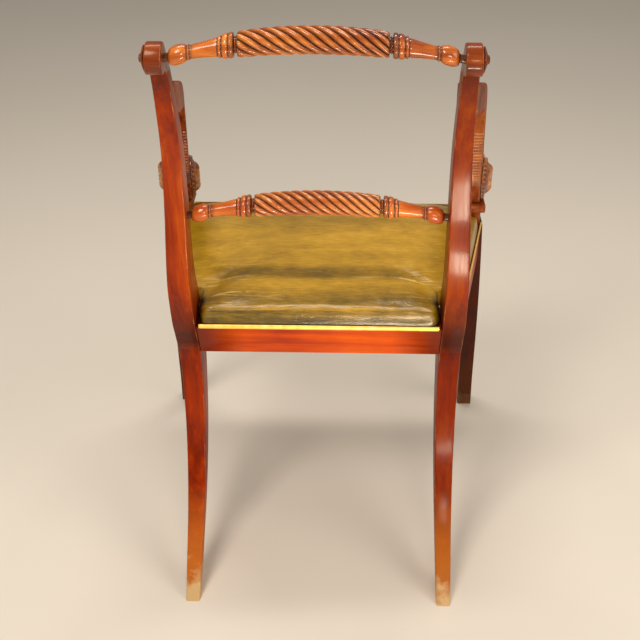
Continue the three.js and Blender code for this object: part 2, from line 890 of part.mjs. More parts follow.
// Seat plan, star-shaped about its middle, with notches round the stiles and the arm blocks
const leatherHeel = rearFaceAt(seatRailTop);
const leatherRearHalf = seatInnerHalf - leatherRearInset;
const leatherNotchHalf = seatInnerHalf - leatherNotchInset;
const leatherNotchForward = faceAt(seatRailTop) + leatherNotchGap;
const leatherFrontHalf = neckAcross - armNeckHalfWidth - leatherNeckGap;
const leatherFrontReach = frontRailFace;
const leatherFrontNotch = frontLegTopHeel - leatherNotchSetback;
const seatMiddleForward = (leatherHeel + leatherFrontReach) / 2;

function seatPlan(inset) {
  const sideEdge = (forward) => sideRailOuter(forward) - inset;
  const half = [
    new THREE.Vector2(0, leatherHeel + inset),
    new THREE.Vector2(leatherRearHalf - inset, leatherHeel + inset),
    new THREE.Vector2(leatherNotchHalf - inset, leatherHeel + leatherTuck),
    new THREE.Vector2(leatherNotchHalf - inset, leatherNotchForward + inset),
    new THREE.Vector2(sideEdge(leatherNotchForward + inset), leatherNotchForward + inset),
    new THREE.Vector2(sideEdge(leatherFrontNotch - inset), leatherFrontNotch - inset),
    new THREE.Vector2(leatherFrontHalf - inset, leatherFrontNotch - inset),
    new THREE.Vector2(leatherFrontHalf - inset, leatherFrontReach - leatherFrontBow - inset),
    new THREE.Vector2(0, leatherFrontReach - inset),
  ];
  const mirrored = half.slice(1, -1).reverse().map((point) => new THREE.Vector2(-point.x, point.y));
  return [...half, ...mirrored];
}

// Where a ray from the seat's middle leaves a plan
function reachTowards(plan, direction) {
  let best = Infinity;
  plan.forEach((from, index) => {
    const to = plan[(index + 1) % plan.length];
    const edge = new THREE.Vector2().subVectors(to, from);
    const start = new THREE.Vector2(from.x, from.y - seatMiddleForward);
    const crossing = direction.x * edge.y - direction.y * edge.x;
    if (Math.abs(crossing) < 1e-9) return;
    const reach = (start.x * edge.y - start.y * edge.x) / crossing;
    const along = (start.x * direction.y - start.y * direction.x) / crossing;
    if (reach > 0 && along >= -1e-6 && along <= 1 + 1e-6) best = Math.min(best, reach);
  });
  return best;
}

// Directions through every corner of the plan, with even steps between them
function seatDirections(perCorner) {
  const angles = seatPlan(0).map((point) => Math.atan2(point.y - seatMiddleForward, point.x));
  const sorted = [...angles].sort((a, b) => a - b);
  const all = [];
  sorted.forEach((angle, index) => {
    const next = index + 1 < sorted.length ? sorted[index + 1] : sorted[0] + 2 * Math.PI;
    const steps = Math.max(1, Math.round((next - angle) * perCorner));
    for (let step = 0; step < steps; step += 1) all.push(angle + (next - angle) * step / steps);
  });
  return all;
}

// A crowned solid over the seat plan: its rings are drawn in at the sides and rounder inwards
function cushion(inset, low, drop, perCorner) {
  const plan = seatPlan(inset);
  const directions = seatDirections(perCorner);
  const sideTop = seatRailTop + cushionSide - drop;
  const rings = [];
  const ringPoint = (angle, draw, share, height) => {
    const direction = new THREE.Vector2(Math.cos(angle), Math.sin(angle));
    const reach = reachTowards(plan, direction) - draw;
    const ovalDepth = seatMiddleForward - leatherHeel;
    const oval = 1 / Math.hypot(direction.x / leatherFrontHalf, direction.y / ovalDepth);
    const blended = THREE.MathUtils.lerp(Math.min(reach, oval), reach, Math.pow(share, 3)) * share;
    return [direction.x * blended, -seatMiddleForward - direction.y * blended, height];
  };
  rings.push(directions.map((angle) => ringPoint(angle, cushionEdgeShares[0][0] * cushionSide, 1, low)));
  for (const [draw, rise] of cushionEdgeShares) {
    const height = seatRailTop + fit + rise * (sideTop - seatRailTop - fit);
    if (height > low) {
      rings.push(directions.map((angle) => ringPoint(angle, draw * cushionSide, 1, height)));
    }
  }
  const lastDraw = cushionEdgeShares[cushionEdgeShares.length - 1][0] * cushionSide;
  for (const share of cushionRingShares) {
    const height = sideTop + cushionCrown * (1 - share * share);
    rings.push(directions.map((angle) => ringPoint(angle, lastDraw, share, height)));
  }
  const corners = rings.flat();
  const topPole = corners.length;
  corners.push([0, -seatMiddleForward, sideTop + cushionCrown]);
  corners.push([0, -seatMiddleForward, low]);
  const count = directions.length;
  const index = [];
  for (let spoke = 0; spoke < count; spoke += 1) {
    const next = (spoke + 1) % count;
    for (let ring = 0; ring + 1 < rings.length; ring += 1) {
      const [a, b] = [ring * count + spoke, ring * count + next];
      index.push(a, b, b + count, a, b + count, a + count);
    }
    const last = (rings.length - 1) * count;
    index.push(last + spoke, last + next, topPole);
    index.push(next, spoke, topPole + 1);
  }
  const geometry = new THREE.BufferGeometry();
  geometry.setAttribute('position', new THREE.Float32BufferAttribute(corners.flat(), 3));
  geometry.setIndex(index);
  return reshape(geometry, (x, y, z) => [x, y, z]);
}

const strapLow = seatRailTop + fit;
const upperStrapLow = strapLow + strapThickness + fit;
const hessianLow = upperStrapLow + strapThickness + fit;
const stuffingLow = hessianLow + hessianThickness + fit;

const leatherOuter = cushion(0, seatRailTop + fit, 0, 7);
const leatherInner = cushion(leatherThickness, seatRailTop - overrun, leatherThickness, 7);
addPart('leather_cover', cut(leatherOuter, [leatherInner]), leather);
const stuffingInset = leatherThickness + 3 * fit;
addPart('horsehair_stuffing', cushion(stuffingInset, stuffingLow, stuffingInset, 4), hair);

const hessian = slab(seatPlan(hessianInset), (across, forward, up) => [
  across,
  -forward,
  hessianLow + up * hessianThickness,
]);
addPart('hessian_cloth', hessian, linen);

const strapRear = rearRailFace - strapSeat;
const strapFront = frontRailFace - seatRailThickness + strapSeat;
const strapSpreadShares = [-0.6, -0.2, 0.2, 0.6];
strapSpreadShares.forEach((share, index) => {
  const middle = share * leatherFrontHalf;
  addPart(`webbing_lengthwise_${index + 1}`, blockBetween(
    new THREE.Vector3(middle - strapWidth / 2, -strapFront, strapLow),
    new THREE.Vector3(middle + strapWidth / 2, -strapRear, strapLow + strapThickness),
  ), linen);
});
const strapCrossShares = [0.3, 0.5, 0.7];
strapCrossShares.forEach((share, index) => {
  const middle = THREE.MathUtils.lerp(leatherHeel, leatherFrontReach, share);
  const half = sideRailOuter(middle - strapWidth / 2) - seatRailThickness + strapSeat / 2;
  addPart(`webbing_crosswise_${index + 1}`, blockBetween(
    new THREE.Vector3(-half, -middle - strapWidth / 2, upperStrapLow),
    new THREE.Vector3(half, -middle + strapWidth / 2, upperStrapLow + strapThickness),
  ), linen);
});

// Brass strips that lap the rails and the foot of the leather
const stripLow = seatRailTop - stripLap;

function stripAlong(faceAtHeight, half) {
  const rows = heights(stripLow, stripLow + stripHeight, 2);
  const outline = [
    ...rows.map((height) => new THREE.Vector2(faceAtHeight(height) - stripThickness / 2, height)),
    ...rows.reverse().map((height) => new THREE.Vector2(faceAtHeight(height) + stripThickness / 2, height)),
  ];
  return slab(outline, (forward, height, across) => [(2 * across - 1) * half, -forward, height]);
}

const stripStand = fit + stripThickness / 2;
const stripRearFace = (height) => rearFaceAt(height) - stripStand;
addPart('brass_strip_rear', stripAlong(stripRearFace, seatInnerHalf - stripRearInset), brass);
addPart('brass_strip_front', stripAlong(() => frontRailFace + stripStand, leatherFrontHalf), brass);

for (const [word, side] of sides) {
  const rearEnd = leatherNotchForward + overrun;
  const frontEnd = frontLegTopHeel - overrun;
  const outline = [
    new THREE.Vector2(rearEnd, stripLow),
    new THREE.Vector2(frontEnd, stripLow),
    new THREE.Vector2(frontEnd, stripLow + stripHeight),
    new THREE.Vector2(rearEnd, stripLow + stripHeight),
  ];
  addPart(`brass_strip_${word}`, slab(outline, (forward, height, across) => [
    side * (sideRailOuter(forward) + fit + across * stripThickness),
    -forward,
    height,
  ]), brass);
}

// The origin is on the floor under the middle of the whole chair
const extent = new THREE.Box3().setFromObject(chair);
chair.position.set(-(extent.min.x + extent.max.x) / 2, -(extent.min.y + extent.max.y) / 2, -extent.min.z);

export default chair;
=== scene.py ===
import math

import bmesh
import bpy
import numpy as np
from mathutils import Matrix, Vector
from mathutils.kdtree import KDTree

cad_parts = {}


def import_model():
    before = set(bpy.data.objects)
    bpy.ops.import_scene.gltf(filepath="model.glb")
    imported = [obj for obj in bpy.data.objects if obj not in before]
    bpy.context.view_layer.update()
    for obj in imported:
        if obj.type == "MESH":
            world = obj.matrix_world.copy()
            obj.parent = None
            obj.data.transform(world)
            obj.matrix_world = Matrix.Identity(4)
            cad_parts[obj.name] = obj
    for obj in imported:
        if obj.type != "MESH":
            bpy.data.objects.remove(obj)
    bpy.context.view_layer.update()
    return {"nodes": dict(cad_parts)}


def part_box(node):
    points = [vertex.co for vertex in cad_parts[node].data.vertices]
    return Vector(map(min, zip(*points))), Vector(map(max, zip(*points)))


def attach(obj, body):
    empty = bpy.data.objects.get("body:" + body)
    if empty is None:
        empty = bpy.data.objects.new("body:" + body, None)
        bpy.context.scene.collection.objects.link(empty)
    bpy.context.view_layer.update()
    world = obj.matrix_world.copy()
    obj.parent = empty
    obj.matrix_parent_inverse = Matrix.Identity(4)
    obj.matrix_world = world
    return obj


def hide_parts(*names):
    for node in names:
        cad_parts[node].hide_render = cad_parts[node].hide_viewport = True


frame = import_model()
scene = bpy.context.scene
print("frame loaded")

# Places are written as in the chair's drawing, in millimetres: side is +1 for the sitter's left,
# forward is counted from the heels of the rear feet and height from the floor.
originForward = 256.86


def world(x, forward, height):
    return Vector((x, originForward - forward, height)) * 0.001


camera = {
    "lens": 56.25, "sensor": 36.0, "place": (-39.0, -1020.0, 1148.0),
    "yaw": -1.87, "down": 32.52, "roll": 0.30,
}


def makeCamera():
    yaw, down, roll = (math.radians(camera[k]) for k in ("yaw", "down", "roll"))
    ahead = Vector((math.sin(yaw) * math.cos(down), math.cos(yaw) * math.cos(down), -math.sin(down)))
    level = Vector((math.cos(yaw), -math.sin(yaw), 0))
    under = ahead.cross(level)
    right = math.cos(roll) * level + math.sin(roll) * under
    lower = -math.sin(roll) * level + math.cos(roll) * under
    turn = Matrix.Identity(4)
    for column, vector in enumerate((right, -lower, -ahead)):
        turn[0][column], turn[1][column], turn[2][column] = -vector.x, -vector.y, vector.z
    data = bpy.data.cameras.new("camera")
    data.lens, data.sensor_width = camera["lens"], camera["sensor"]
    data.clip_start, data.clip_end = 0.05, 60
    held = bpy.data.objects.new("camera", data)
    turn.translation = world(*camera["place"])
    held.matrix_world = turn
    scene.collection.objects.link(held)
    scene.camera = held


makeCamera()
scene.view_settings.view_transform = "Standard"


# A hex sRGB colour as a linear one
def linear(colour):
    parts = [int(colour[i:i + 2], 16) / 255 for i in (1, 3, 5)]
    return (*(c / 12.92 if c <= 0.04045 else ((c + 0.055) / 1.055) ** 2.4 for c in parts), 1)


# Adds a node; inputs maps a socket's name or index to a value, a node or a node's output
def add(tree, kind, inputs=None, **settings):
    node = tree.nodes.new(kind)
    for key, value in settings.items():
        setattr(node, key, value)
    for key, value in (inputs or {}).items():
        if isinstance(value, bpy.types.Node):
            tree.links.new(value.outputs[0], node.inputs[key])
        elif isinstance(value, bpy.types.NodeSocket):
            tree.links.new(value, node.inputs[key])
        else:
            node.inputs[key].default_value = value
    return node


def setStops(ramp, stops):
    line = ramp.color_ramp
    while len(line.elements) < len(stops):
        line.elements.new(0.5)
    for element, (place, colour) in zip(line.elements, stops):
        element.position = place
        element.color = linear(colour) if isinstance(colour, str) else (colour, colour, colour, 1)


def newMaterial(name):
    material = bpy.data.materials.new(name)
    material.use_nodes = True
    tree = material.node_tree
    tree.nodes.clear()
    shader = add(tree, "ShaderNodeBsdfPrincipled")
    out = add(tree, "ShaderNodeOutputMaterial", {"Surface": shader})
    return material, tree, shader, out


room = {"air": "#ddd5ca", "airStrength": 0.38}


def makeRoom():
    material, tree, shader, out = newMaterial("matt_floor_paint")
    speck = add(tree, "ShaderNodeTexNoise", {"Scale": 9.0, "Detail": 4.0})
    tone = add(tree, "ShaderNodeValToRGB", {"Fac": speck})
    setStops(tone, [(0.3, "#e0dad2"), (0.7, "#e7e2da")])
    tree.links.new(tone.outputs[0], shader.inputs["Base Color"])
    shader.inputs["Roughness"].default_value = 0.75
    mesh = bpy.data.meshes.new("floor")
    half = 9
    mesh.from_pydata([(-half, -half, 0), (half, -half, 0), (half, half, 0), (-half, half, 0)], [], [(0, 1, 2, 3)])
    mesh.materials.append(material)
    floor = bpy.data.objects.new("floor", mesh)
    scene.collection.objects.link(floor)
    air = bpy.data.worlds.new("room")
    air.use_nodes = True
    sky = air.node_tree.nodes["Background"]
    sky.inputs["Color"].default_value = linear(room["air"])
    sky.inputs["Strength"].default_value = room["airStrength"]
    scene.world = air


def makeLamp(name, place, target, size, power, colour, spread=180.0):
    data = bpy.data.lights.new(name, "AREA")
    data.shape = "RECTANGLE"
    data.size, data.size_y = size
    data.energy = power
    data.color = linear(colour)[:3]
    data.spread = math.radians(spread)
    lamp = bpy.data.objects.new(name, data)
    lamp.location = place
    lamp.rotation_mode = "QUATERNION"
    lamp.rotation_quaternion = (Vector(target) - Vector(place)).to_track_quat("-Z", "Y")
    scene.collection.objects.link(lamp)


makeRoom()
makeLamp("key_lamp", (0.9, 1.5, 2.5), (0, 0, 0.5), (0.9, 0.9), 36, "#fff3e2")
makeLamp("fill_lamp", (-1.9, 1.0, 1.7), (0, 0, 0.5), (1.4, 1.4), 22, "#fff1e0")
makeLamp("top_lamp", (0.1, -0.5, 2.6), (0, 0, 0.4), (1.6, 0.3), 25, "#fff4e4")
makeLamp("low_lamp", (-0.24, 1.03, 0.11), (-0.1, 0.2, 0.52), (0.42, 0.07), 1.2, "#ffe9cc", spread=70.0)
makeLamp("rear_lamp", (-0.45, 2.4, 1.25), (-0.15, 0.15, 0.15), (0.5, 0.24), 9, "#fff1dc")
print("camera, floor and lamps made")


def blended(tree, mask, colour, other):
    over = {"Factor": mask, 6: colour, 7: linear(other)}
    return add(tree, "ShaderNodeMix", over, data_type="RGBA").outputs[2]


# Open pores along the grain, 0.2 mm wide in the wood and drawn 1 mm wide so that they show
def poredColour(tree, spot, stretch, colour, dark):
    poreSpot = add(tree, "ShaderNodeMapping", {"Vector": spot, "Scale": tuple(s * 6 for s in stretch)})
    pore = add(tree, "ShaderNodeTexNoise", {"Vector": poreSpot, "Scale": 1.0, "Detail": 2.0})
    mask = add(tree, "ShaderNodeMapRange", {0: pore.outputs["Fac"], 1: 0.6, 2: 0.72, 3: 0.0, 4: 0.5})
    return blended(tree, mask, colour, dark)


# Mahogany, French polished: straight open grain in red-brown under a clear shellac film, thin and
# even on the flat pieces and thick and wet on the turned and carved ones
def mahogany(name, grain, tones, wornAndSheen, gloss=0.34, shine=0.04, film=0.26, foot=0.0, ends=0.0, darkened=False):
    dark, mid, light = tones
    material, tree, shader, out = newMaterial(name)
    spot = add(tree, "ShaderNodeTexCoord").outputs["Object"]
    slow, fast = 9.0, 150.0
    stretch = {"x": (slow, fast, fast), "y": (fast, slow, fast), "z": (fast, fast, slow)}[grain]
    along = add(tree, "ShaderNodeMapping", {"Vector": spot, "Scale": stretch})
    figureShape = {"Vector": along, "Scale": 0.55, "Detail": 5.0, "Roughness": 0.62, "Distortion": 0.35}
    figure = add(tree, "ShaderNodeTexNoise", figureShape)
    cloud = add(tree, "ShaderNodeTexNoise", {"Vector": spot, "Scale": 7.0, "Detail": 3.0})
    mixed = add(tree, "ShaderNodeMath", {0: figure.outputs["Fac"], 1: cloud.outputs["Fac"]}, operation="ADD")
    halved = add(tree, "ShaderNodeMath", {0: mixed, 1: 0.5}, operation="MULTIPLY")
    tone = add(tree, "ShaderNodeValToRGB", {"Fac": halved})
    setStops(tone, [(0.36, dark), (0.5, mid), (0.64, light)])
    pored = poredColour(tree, spot, stretch, tone.outputs[0], dark)
    parts = add(tree, "ShaderNodeSeparateXYZ", {0: spot})
    patchShape = {"Vector": spot, "Scale": 38.0, "Detail": 6.0, "Roughness": 0.7}
    patch = add(tree, "ShaderNodeTexNoise", patchShape).outputs["Fac"]
    colour = pored
    # Painted shade, with the dark joint, towards the rails' ends where they meet the uprights
    if ends:
        across = add(tree, "ShaderNodeMath", {0: parts.outputs[0]}, operation="ABSOLUTE")
        endShadeMask = add(tree, "ShaderNodeMapRange", {0: across, 1: 0.1, 2: 0.156, 3: 0.0, 4: ends})
        colour = blended(tree, endShadeMask, colour, "#561503")
    if darkened:
        # The right upright and leg are painted darker, as painted shade; both are also darker by the seat and towards
        # the scroll
        rightShade = add(tree, "ShaderNodeMapRange", {0: parts.outputs[0], 1: 0.05, 2: -0.05, 3: 0.0, 4: 0.4})
        colour = blended(tree, rightShade, colour, "#3a1004")
        below = add(tree, "ShaderNodeMapRange", {0: parts.outputs[2], 1: 0.345, 2: 0.378, 3: 0.0, 4: 0.82})
        above = add(tree, "ShaderNodeMapRange", {0: parts.outputs[2], 1: 0.398, 2: 0.485, 3: 1.0, 4: 0.0})
        bySeat = add(tree, "ShaderNodeMath", {0: below, 1: above}, operation="MULTIPLY")
        byScroll = add(tree, "ShaderNodeMapRange", {0: parts.outputs[2], 1: 0.745, 2: 0.79, 3: 0.0, 4: 0.5})
        darkBands = add(tree, "ShaderNodeMath", {0: bySeat, 1: byScroll}, operation="MAXIMUM")
        colour = blended(tree, darkBands, colour, "#2a0a02")
    # Paler towards the foot: worn wood together with a painted highlight of glare
    if foot:
        footWearAndGlare = add(tree, "ShaderNodeMapRange", {0: parts.outputs[2], 1: 0.045, 2: 0.13, 3: foot * 0.6, 4: 0.0})
        colour = blended(tree, footWearAndGlare, colour, "#d07c2c")
    # Lighter where the wear attribute is high: real wear on arrises and raised carving, and a painted highlight along
    # the twist's ridge tops
    rubAndSheen = add(tree, "ShaderNodeAttribute", attribute_name="wear_and_sheen")
    rubAndSheenPatched = add(tree, "ShaderNodeMath", {0: rubAndSheen.outputs["Fac"], 1: patch}, operation="MULTIPLY")
    rubAndSheenMask = add(tree, "ShaderNodeMapRange", {0: rubAndSheenPatched, 1: 0.42, 2: 0.62, 3: 0.0, 4: 0.85})
    colour = blended(tree, rubAndSheenMask, colour, wornAndSheen)
    if foot:
        ragged = {0: patch, 1: -0.13, 2: parts.outputs[2]}
        footNoise = add(tree, "ShaderNodeMath", ragged, operation="MULTIPLY_ADD")
        footMask = add(tree, "ShaderNodeMapRange", {0: footNoise, 1: -0.058, 2: -0.028, 3: foot, 4: 0.0})
        colour = blended(tree, footMask, colour, "#cfae7c")
    # Darker where the dirt attribute is high: dirt in hollows and grooves together with painted shade there
    grimeAndShade = add(tree, "ShaderNodeAttribute", attribute_name="dirt_and_shade")
    grimeAndShadeMask = add(tree, "ShaderNodeMath", {0: grimeAndShade.outputs["Fac"], 1: 0.95}, operation="MULTIPLY")
    tree.links.new(blended(tree, grimeAndShadeMask, colour, "#240b03"), shader.inputs["Base Color"])
    rough = add(tree, "ShaderNodeMapRange", {0: patch, 1: 0.3, 2: 0.75, 3: gloss, 4: gloss + 0.16})
    rougher = add(tree, "ShaderNodeMath", {0: rubAndSheenMask, 1: 0.2, 2: rough}, operation="MULTIPLY_ADD")
    duller = add(tree, "ShaderNodeMath", {0: grimeAndShadeMask, 1: 0.4, 2: rougher}, operation="MULTIPLY_ADD")
    tree.links.new(duller.outputs[0], shader.inputs["Roughness"])
    shader.inputs["IOR"].default_value = 1.5
    shader.inputs["Specular IOR Level"].default_value = shine
    # The film has sunk into the grain, so that a reflection breaks into streaks along it
    sunk = add(tree, "ShaderNodeMapRange", {0: figure, 1: 0.36, 2: 0.62, 3: film * 1.45, 4: film * 0.55})
    tree.links.new(sunk.outputs[0], shader.inputs["Coat Weight"])
    shader.inputs["Coat Roughness"].default_value = gloss * 0.47
    dents = add(tree, "ShaderNodeBump", {"Height": patch, "Strength": 0.1, "Distance": 0.002})
    tree.links.new(dents.outputs[0], shader.inputs["Normal"])
    return material


stileWood = mahogany("mahogany_stiles", "z", ("#6c1800", "#983404", "#b8560e"), "#d08a48", darkened=True)
legTones = ("#661800", "#942c00", "#ac4406")
legWood = mahogany("mahogany_rear_legs", "z", legTones, "#c07f42", film=0.16, foot=0.95, darkened=True)
# The front legs are painted near black, as painted shade under the seat
frontLegShadeWood = mahogany("mahogany_front_legs", "z", ("#220801", "#401303", "#562007"), "#8a5428", foot=0.12)
railWood = mahogany("mahogany_rails", "x", ("#9c2a00", "#c84a00", "#e0680a"), "#e09850", ends=0.85)
sideRailWood = mahogany("mahogany_side_rails", "y", ("#701c00", "#9e3402", "#b44c0c"), "#b97a42")
turnedTones = ("#83330a", "#cb6c1c", "#f0a040")
turnedWood = mahogany("mahogany_turned", "x", turnedTones, "#f4be78", gloss=0.22, shine=0.3, film=0.8)
redTurnedTones = ("#722206", "#b2500f", "#d67a2a")
redTurnedWood = mahogany("mahogany_turned_red", "x", redTurnedTones, "#e8a868", gloss=0.22, shine=0.3, film=0.7)
# The crest twist has lighter tones than the lower twist, as painted light making up for the bounce from the seat that
# lights the lower twist
crestTones = ("#8e3e10", "#be6a26", "#e29246")
crestTwistWood = mahogany("mahogany_crest_twist", "x", crestTones, "#f8c080", gloss=0.22, shine=0.3, film=0.6)
lowerTones = ("#7a320d", "#b46028", "#d88c46")
lowerTwistWood = mahogany("mahogany_lower_twist", "x", lowerTones, "#f2b878", gloss=0.22, shine=0.3, film=0.6)
armTones = ("#561d08", "#874019", "#a65c2a")
armWood = mahogany("mahogany_arms", "y", armTones, "#c08a54", gloss=0.4, shine=0.04, film=0.1)
reliefTones = ("#4e1c07", "#88451b", "#b87238")
reliefWood = mahogany("mahogany_arm_carving", "y", reliefTones, "#d89a5c", gloss=0.24, shine=0.3, film=0.9)
scrollTones = ("#4c1804", "#80360e", "#a8581c")
scrollWood = mahogany("mahogany_scrolls", "x", scrollTones, "#cb8f50", gloss=0.3, shine=0.1, film=0.4)


# Beech, planed and left bare inside the frame: pale brown with short flecks and no gloss
def makeBeech():
    material, tree, shader, out = newMaterial("beech_inner_frame")
    spot = add(tree, "ShaderNodeTexCoord").outputs["Object"]
    along = add(tree, "ShaderNodeMapping", {"Vector": spot, "Scale": (40.0, 300.0, 300.0)})
    fleck = add(tree, "ShaderNodeTexNoise", {"Vector": along, "Scale": 1.0, "Detail": 4.0})
    tone = add(tree, "ShaderNodeValToRGB", {"Fac": fleck})
    setStops(tone, [(0.35, "#94683c"), (0.65, "#b98d5a")])
    tree.links.new(tone.outputs[0], shader.inputs["Base Color"])
    shader.inputs["Roughness"].default_value = 0.72
    bump = add(tree, "ShaderNodeBump", {"Height": fleck, "Strength": 0.2, "Distance": 0.0004})
    tree.links.new(bump.outputs[0], shader.inputs["Normal"])
    return material


# Yellow brass, drawn and hand polished: a warm metal whose fine drawing lines run along the strip
def makeBrass():
    material, tree, shader, out = newMaterial("drawn_brass")
    spot = add(tree, "ShaderNodeTexCoord").outputs["Object"]
    along = add(tree, "ShaderNodeMapping", {"Vector": spot, "Scale": (25.0, 25.0, 1800.0)})
    line = add(tree, "ShaderNodeTexNoise", {"Vector": along, "Scale": 1.0, "Detail": 3.0})
    tarnish = add(tree, "ShaderNodeTexNoise", {"Vector": spot, "Scale": 60.0, "Detail": 5.0, "Roughness": 0.65})
    tone = add(tree, "ShaderNodeValToRGB", {"Fac": tarnish})
    setStops(tone, [(0.3, "#efb848"), (0.5, "#ffd566"), (0.7, "#ffe68c")])
    tree.links.new(tone.outputs[0], shader.inputs["Base Color"])
    rough = add(tree, "ShaderNodeMapRange", {0: tarnish, 1: 0.3, 2: 0.7, 3: 0.46, 4: 0.36})
    tree.links.new(rough.outputs[0], shader.inputs["Roughness"])
    shader.inputs["Metallic"].default_value = 0.5
    bump = add(tree, "ShaderNodeBump", {"Height": line, "Strength": 0.15, "Distance": 0.0003})
    tree.links.new(bump.outputs[0], shader.inputs["Normal"])
    return material


# Mild steel wood screws, bright turned and dulled by damp: grey with brown rust in the low spots
def makeSteel():
    material, tree, shader, out = newMaterial("turned_steel")
    spot = add(tree, "ShaderNodeTexCoord").outputs["Object"]
    rust = add(tree, "ShaderNodeTexNoise", {"Vector": spot, "Scale": 420.0, "Detail": 5.0})
    tone = add(tree, "ShaderNodeValToRGB", {"Fac": rust})
    setStops(tone, [(0.42, "#6b4a34"), (0.56, "#85868a")])
    tree.links.new(tone.outputs[0], shader.inputs["Base Color"])
    metal = add(tree, "ShaderNodeMapRange", {0: rust, 1: 0.42, 2: 0.56, 3: 0.3, 4: 1.0})
    tree.links.new(metal.outputs[0], shader.inputs["Metallic"])
    rough = add(tree, "ShaderNodeMapRange", {0: rust, 1: 0.42, 2: 0.6, 3: 0.75, 4: 0.38})
    tree.links.new(rough.outputs[0], shader.inputs["Roughness"])
    return material


# Aniline calf, hand stained olive over tan and finished with wax, gold on the crown, with a fine
# pore grain of about 1 mm and pale scratches near the rear; painted shade darkens the fold, the
# notches, the rear face and the rail's shadow, and a painted highlight runs along the rear roll.
def makeLeather():
    material, tree, shader, out = newMaterial("stained_calf_leather")
    spot = add(tree, "ShaderNodeTexCoord").outputs["Object"]
    wide = add(tree, "ShaderNodeMapping", {"Vector": spot, "Scale": (5.0, 40.0, 40.0)})
    brushShape = {"Vector": wide, "Scale": 1.0, "Detail": 6.0, "Roughness": 0.62, "Distortion": 0.6}
    brushed = add(tree, "ShaderNodeTexNoise", brushShape).outputs["Fac"]
    fine = add(tree, "ShaderNodeMapping", {"Vector": spot, "Scale": (60.0, 420.0, 420.0)})
    streak = add(tree, "ShaderNodeTexNoise", {"Vector": fine, "Scale": 1.0, "Detail": 4.0}).outputs["Fac"]
    blotchShape = {"Vector": spot, "Scale": 30.0, "Detail": 6.0, "Roughness": 0.66}
    blotch = add(tree, "ShaderNodeTexNoise", blotchShape).outputs["Fac"]
    level = add(tree, "ShaderNodeMath", {0: brushed, 1: 0.24, 2: 0.12}, operation="MULTIPLY_ADD")
    level = add(tree, "ShaderNodeMath", {0: streak, 1: 0.26, 2: level}, operation="MULTIPLY_ADD")
    level = add(tree, "ShaderNodeMath", {0: blotch, 1: 0.28, 2: level}, operation="MULTIPLY_ADD")
    # A painted shade attribute darkens the leather's tone, and where it is negative a painted highlight lightens it
    shade_and_highlight = add(tree, "ShaderNodeAttribute", attribute_name="shade_and_highlight").outputs["Fac"]
    shadedLevel = add(tree, "ShaderNodeMath", {0: shade_and_highlight, 1: -0.36, 2: level}, operation="MULTIPLY_ADD")
    tone = add(tree, "ShaderNodeValToRGB", {"Fac": shadedLevel})
    # The darkest stops take the painted shade in the notches and the palest one the painted highlight along the rear
    # roll
    setStops(tone, [(0.06, "#201a04"), (0.22, "#5c4a0a"), (0.4, "#9c7812"), (0.58, "#c89c28"), (0.78, "#f2e2b0")])
    # Scratches: thin wandering lines that leave each rear corner on the slant
    colour = tone.outputs[0]
    for attribute, angle in (("scratchedLeft", 0.8), ("scratchedRight", -0.8)):
        near = add(tree, "ShaderNodeAttribute", attribute_name=attribute).outputs["Fac"]
        for turn, spread, limit in ((angle, 34.0, 0.5), (angle * 0.62, 57.0, 0.47)):
            slant = {"Vector": spot, "Rotation": (0.0, 0.0, turn), "Scale": (2.5, spread, 0.0)}
            place = add(tree, "ShaderNodeMapping", slant, vector_type="POINT")
            line = add(tree, "ShaderNodeTexNoise", {"Vector": place, "Scale": 1.0, "Detail": 0.0})
            off = add(tree, "ShaderNodeMath", {0: line.outputs["Fac"], 1: limit}, operation="SUBTRACT")
            off = add(tree, "ShaderNodeMath", {0: off}, operation="ABSOLUTE")
            thin = add(tree, "ShaderNodeMapRange", {0: off, 1: 0.004, 2: 0.013, 3: 0.85, 4: 0.0})
            broken = add(tree, "ShaderNodeMapRange", {0: blotch, 1: 0.42, 2: 0.56, 3: 0.0, 4: 1.0})
            kept = add(tree, "ShaderNodeMath", {0: thin, 1: near}, operation="MULTIPLY")
            kept = add(tree, "ShaderNodeMath", {0: kept, 1: broken}, operation="MULTIPLY")
            colour = blended(tree, kept, colour, "#f0d488")
    tree.links.new(colour, shader.inputs["Base Color"])
    rough = add(tree, "ShaderNodeMapRange", {0: level, 1: 0.35, 2: 0.65, 3: 0.46, 4: 0.34})
    tree.links.new(rough.outputs[0], shader.inputs["Roughness"])
    shader.inputs["Specular IOR Level"].default_value = 0.25
    shader.inputs["Coat Weight"].default_value = 0.6
    filmRough = add(tree, "ShaderNodeMapRange", {0: blotch, 1: 0.35, 2: 0.65, 3: 0.08, 4: 0.2})
    tree.links.new(filmRough.outputs[0], shader.inputs["Coat Roughness"])
    cells = add(tree, "ShaderNodeTexVoronoi", {"Vector": spot, "Scale": 900.0}, feature="DISTANCE_TO_EDGE")
    poreShape = {"Height": cells.outputs["Distance"], "Strength": 0.2, "Distance": 0.0004}
    pore = add(tree, "ShaderNodeBump", poreShape)
    scuff = add(tree, "ShaderNodeBump", {"Height": blotch, "Normal": pore, "Strength": 0.22, "Distance": 0.004})
    tree.links.new(scuff.outputs[0], shader.inputs["Normal"])
    tree.links.new(scuff.outputs[0], shader.inputs["Coat Normal"])
    return material


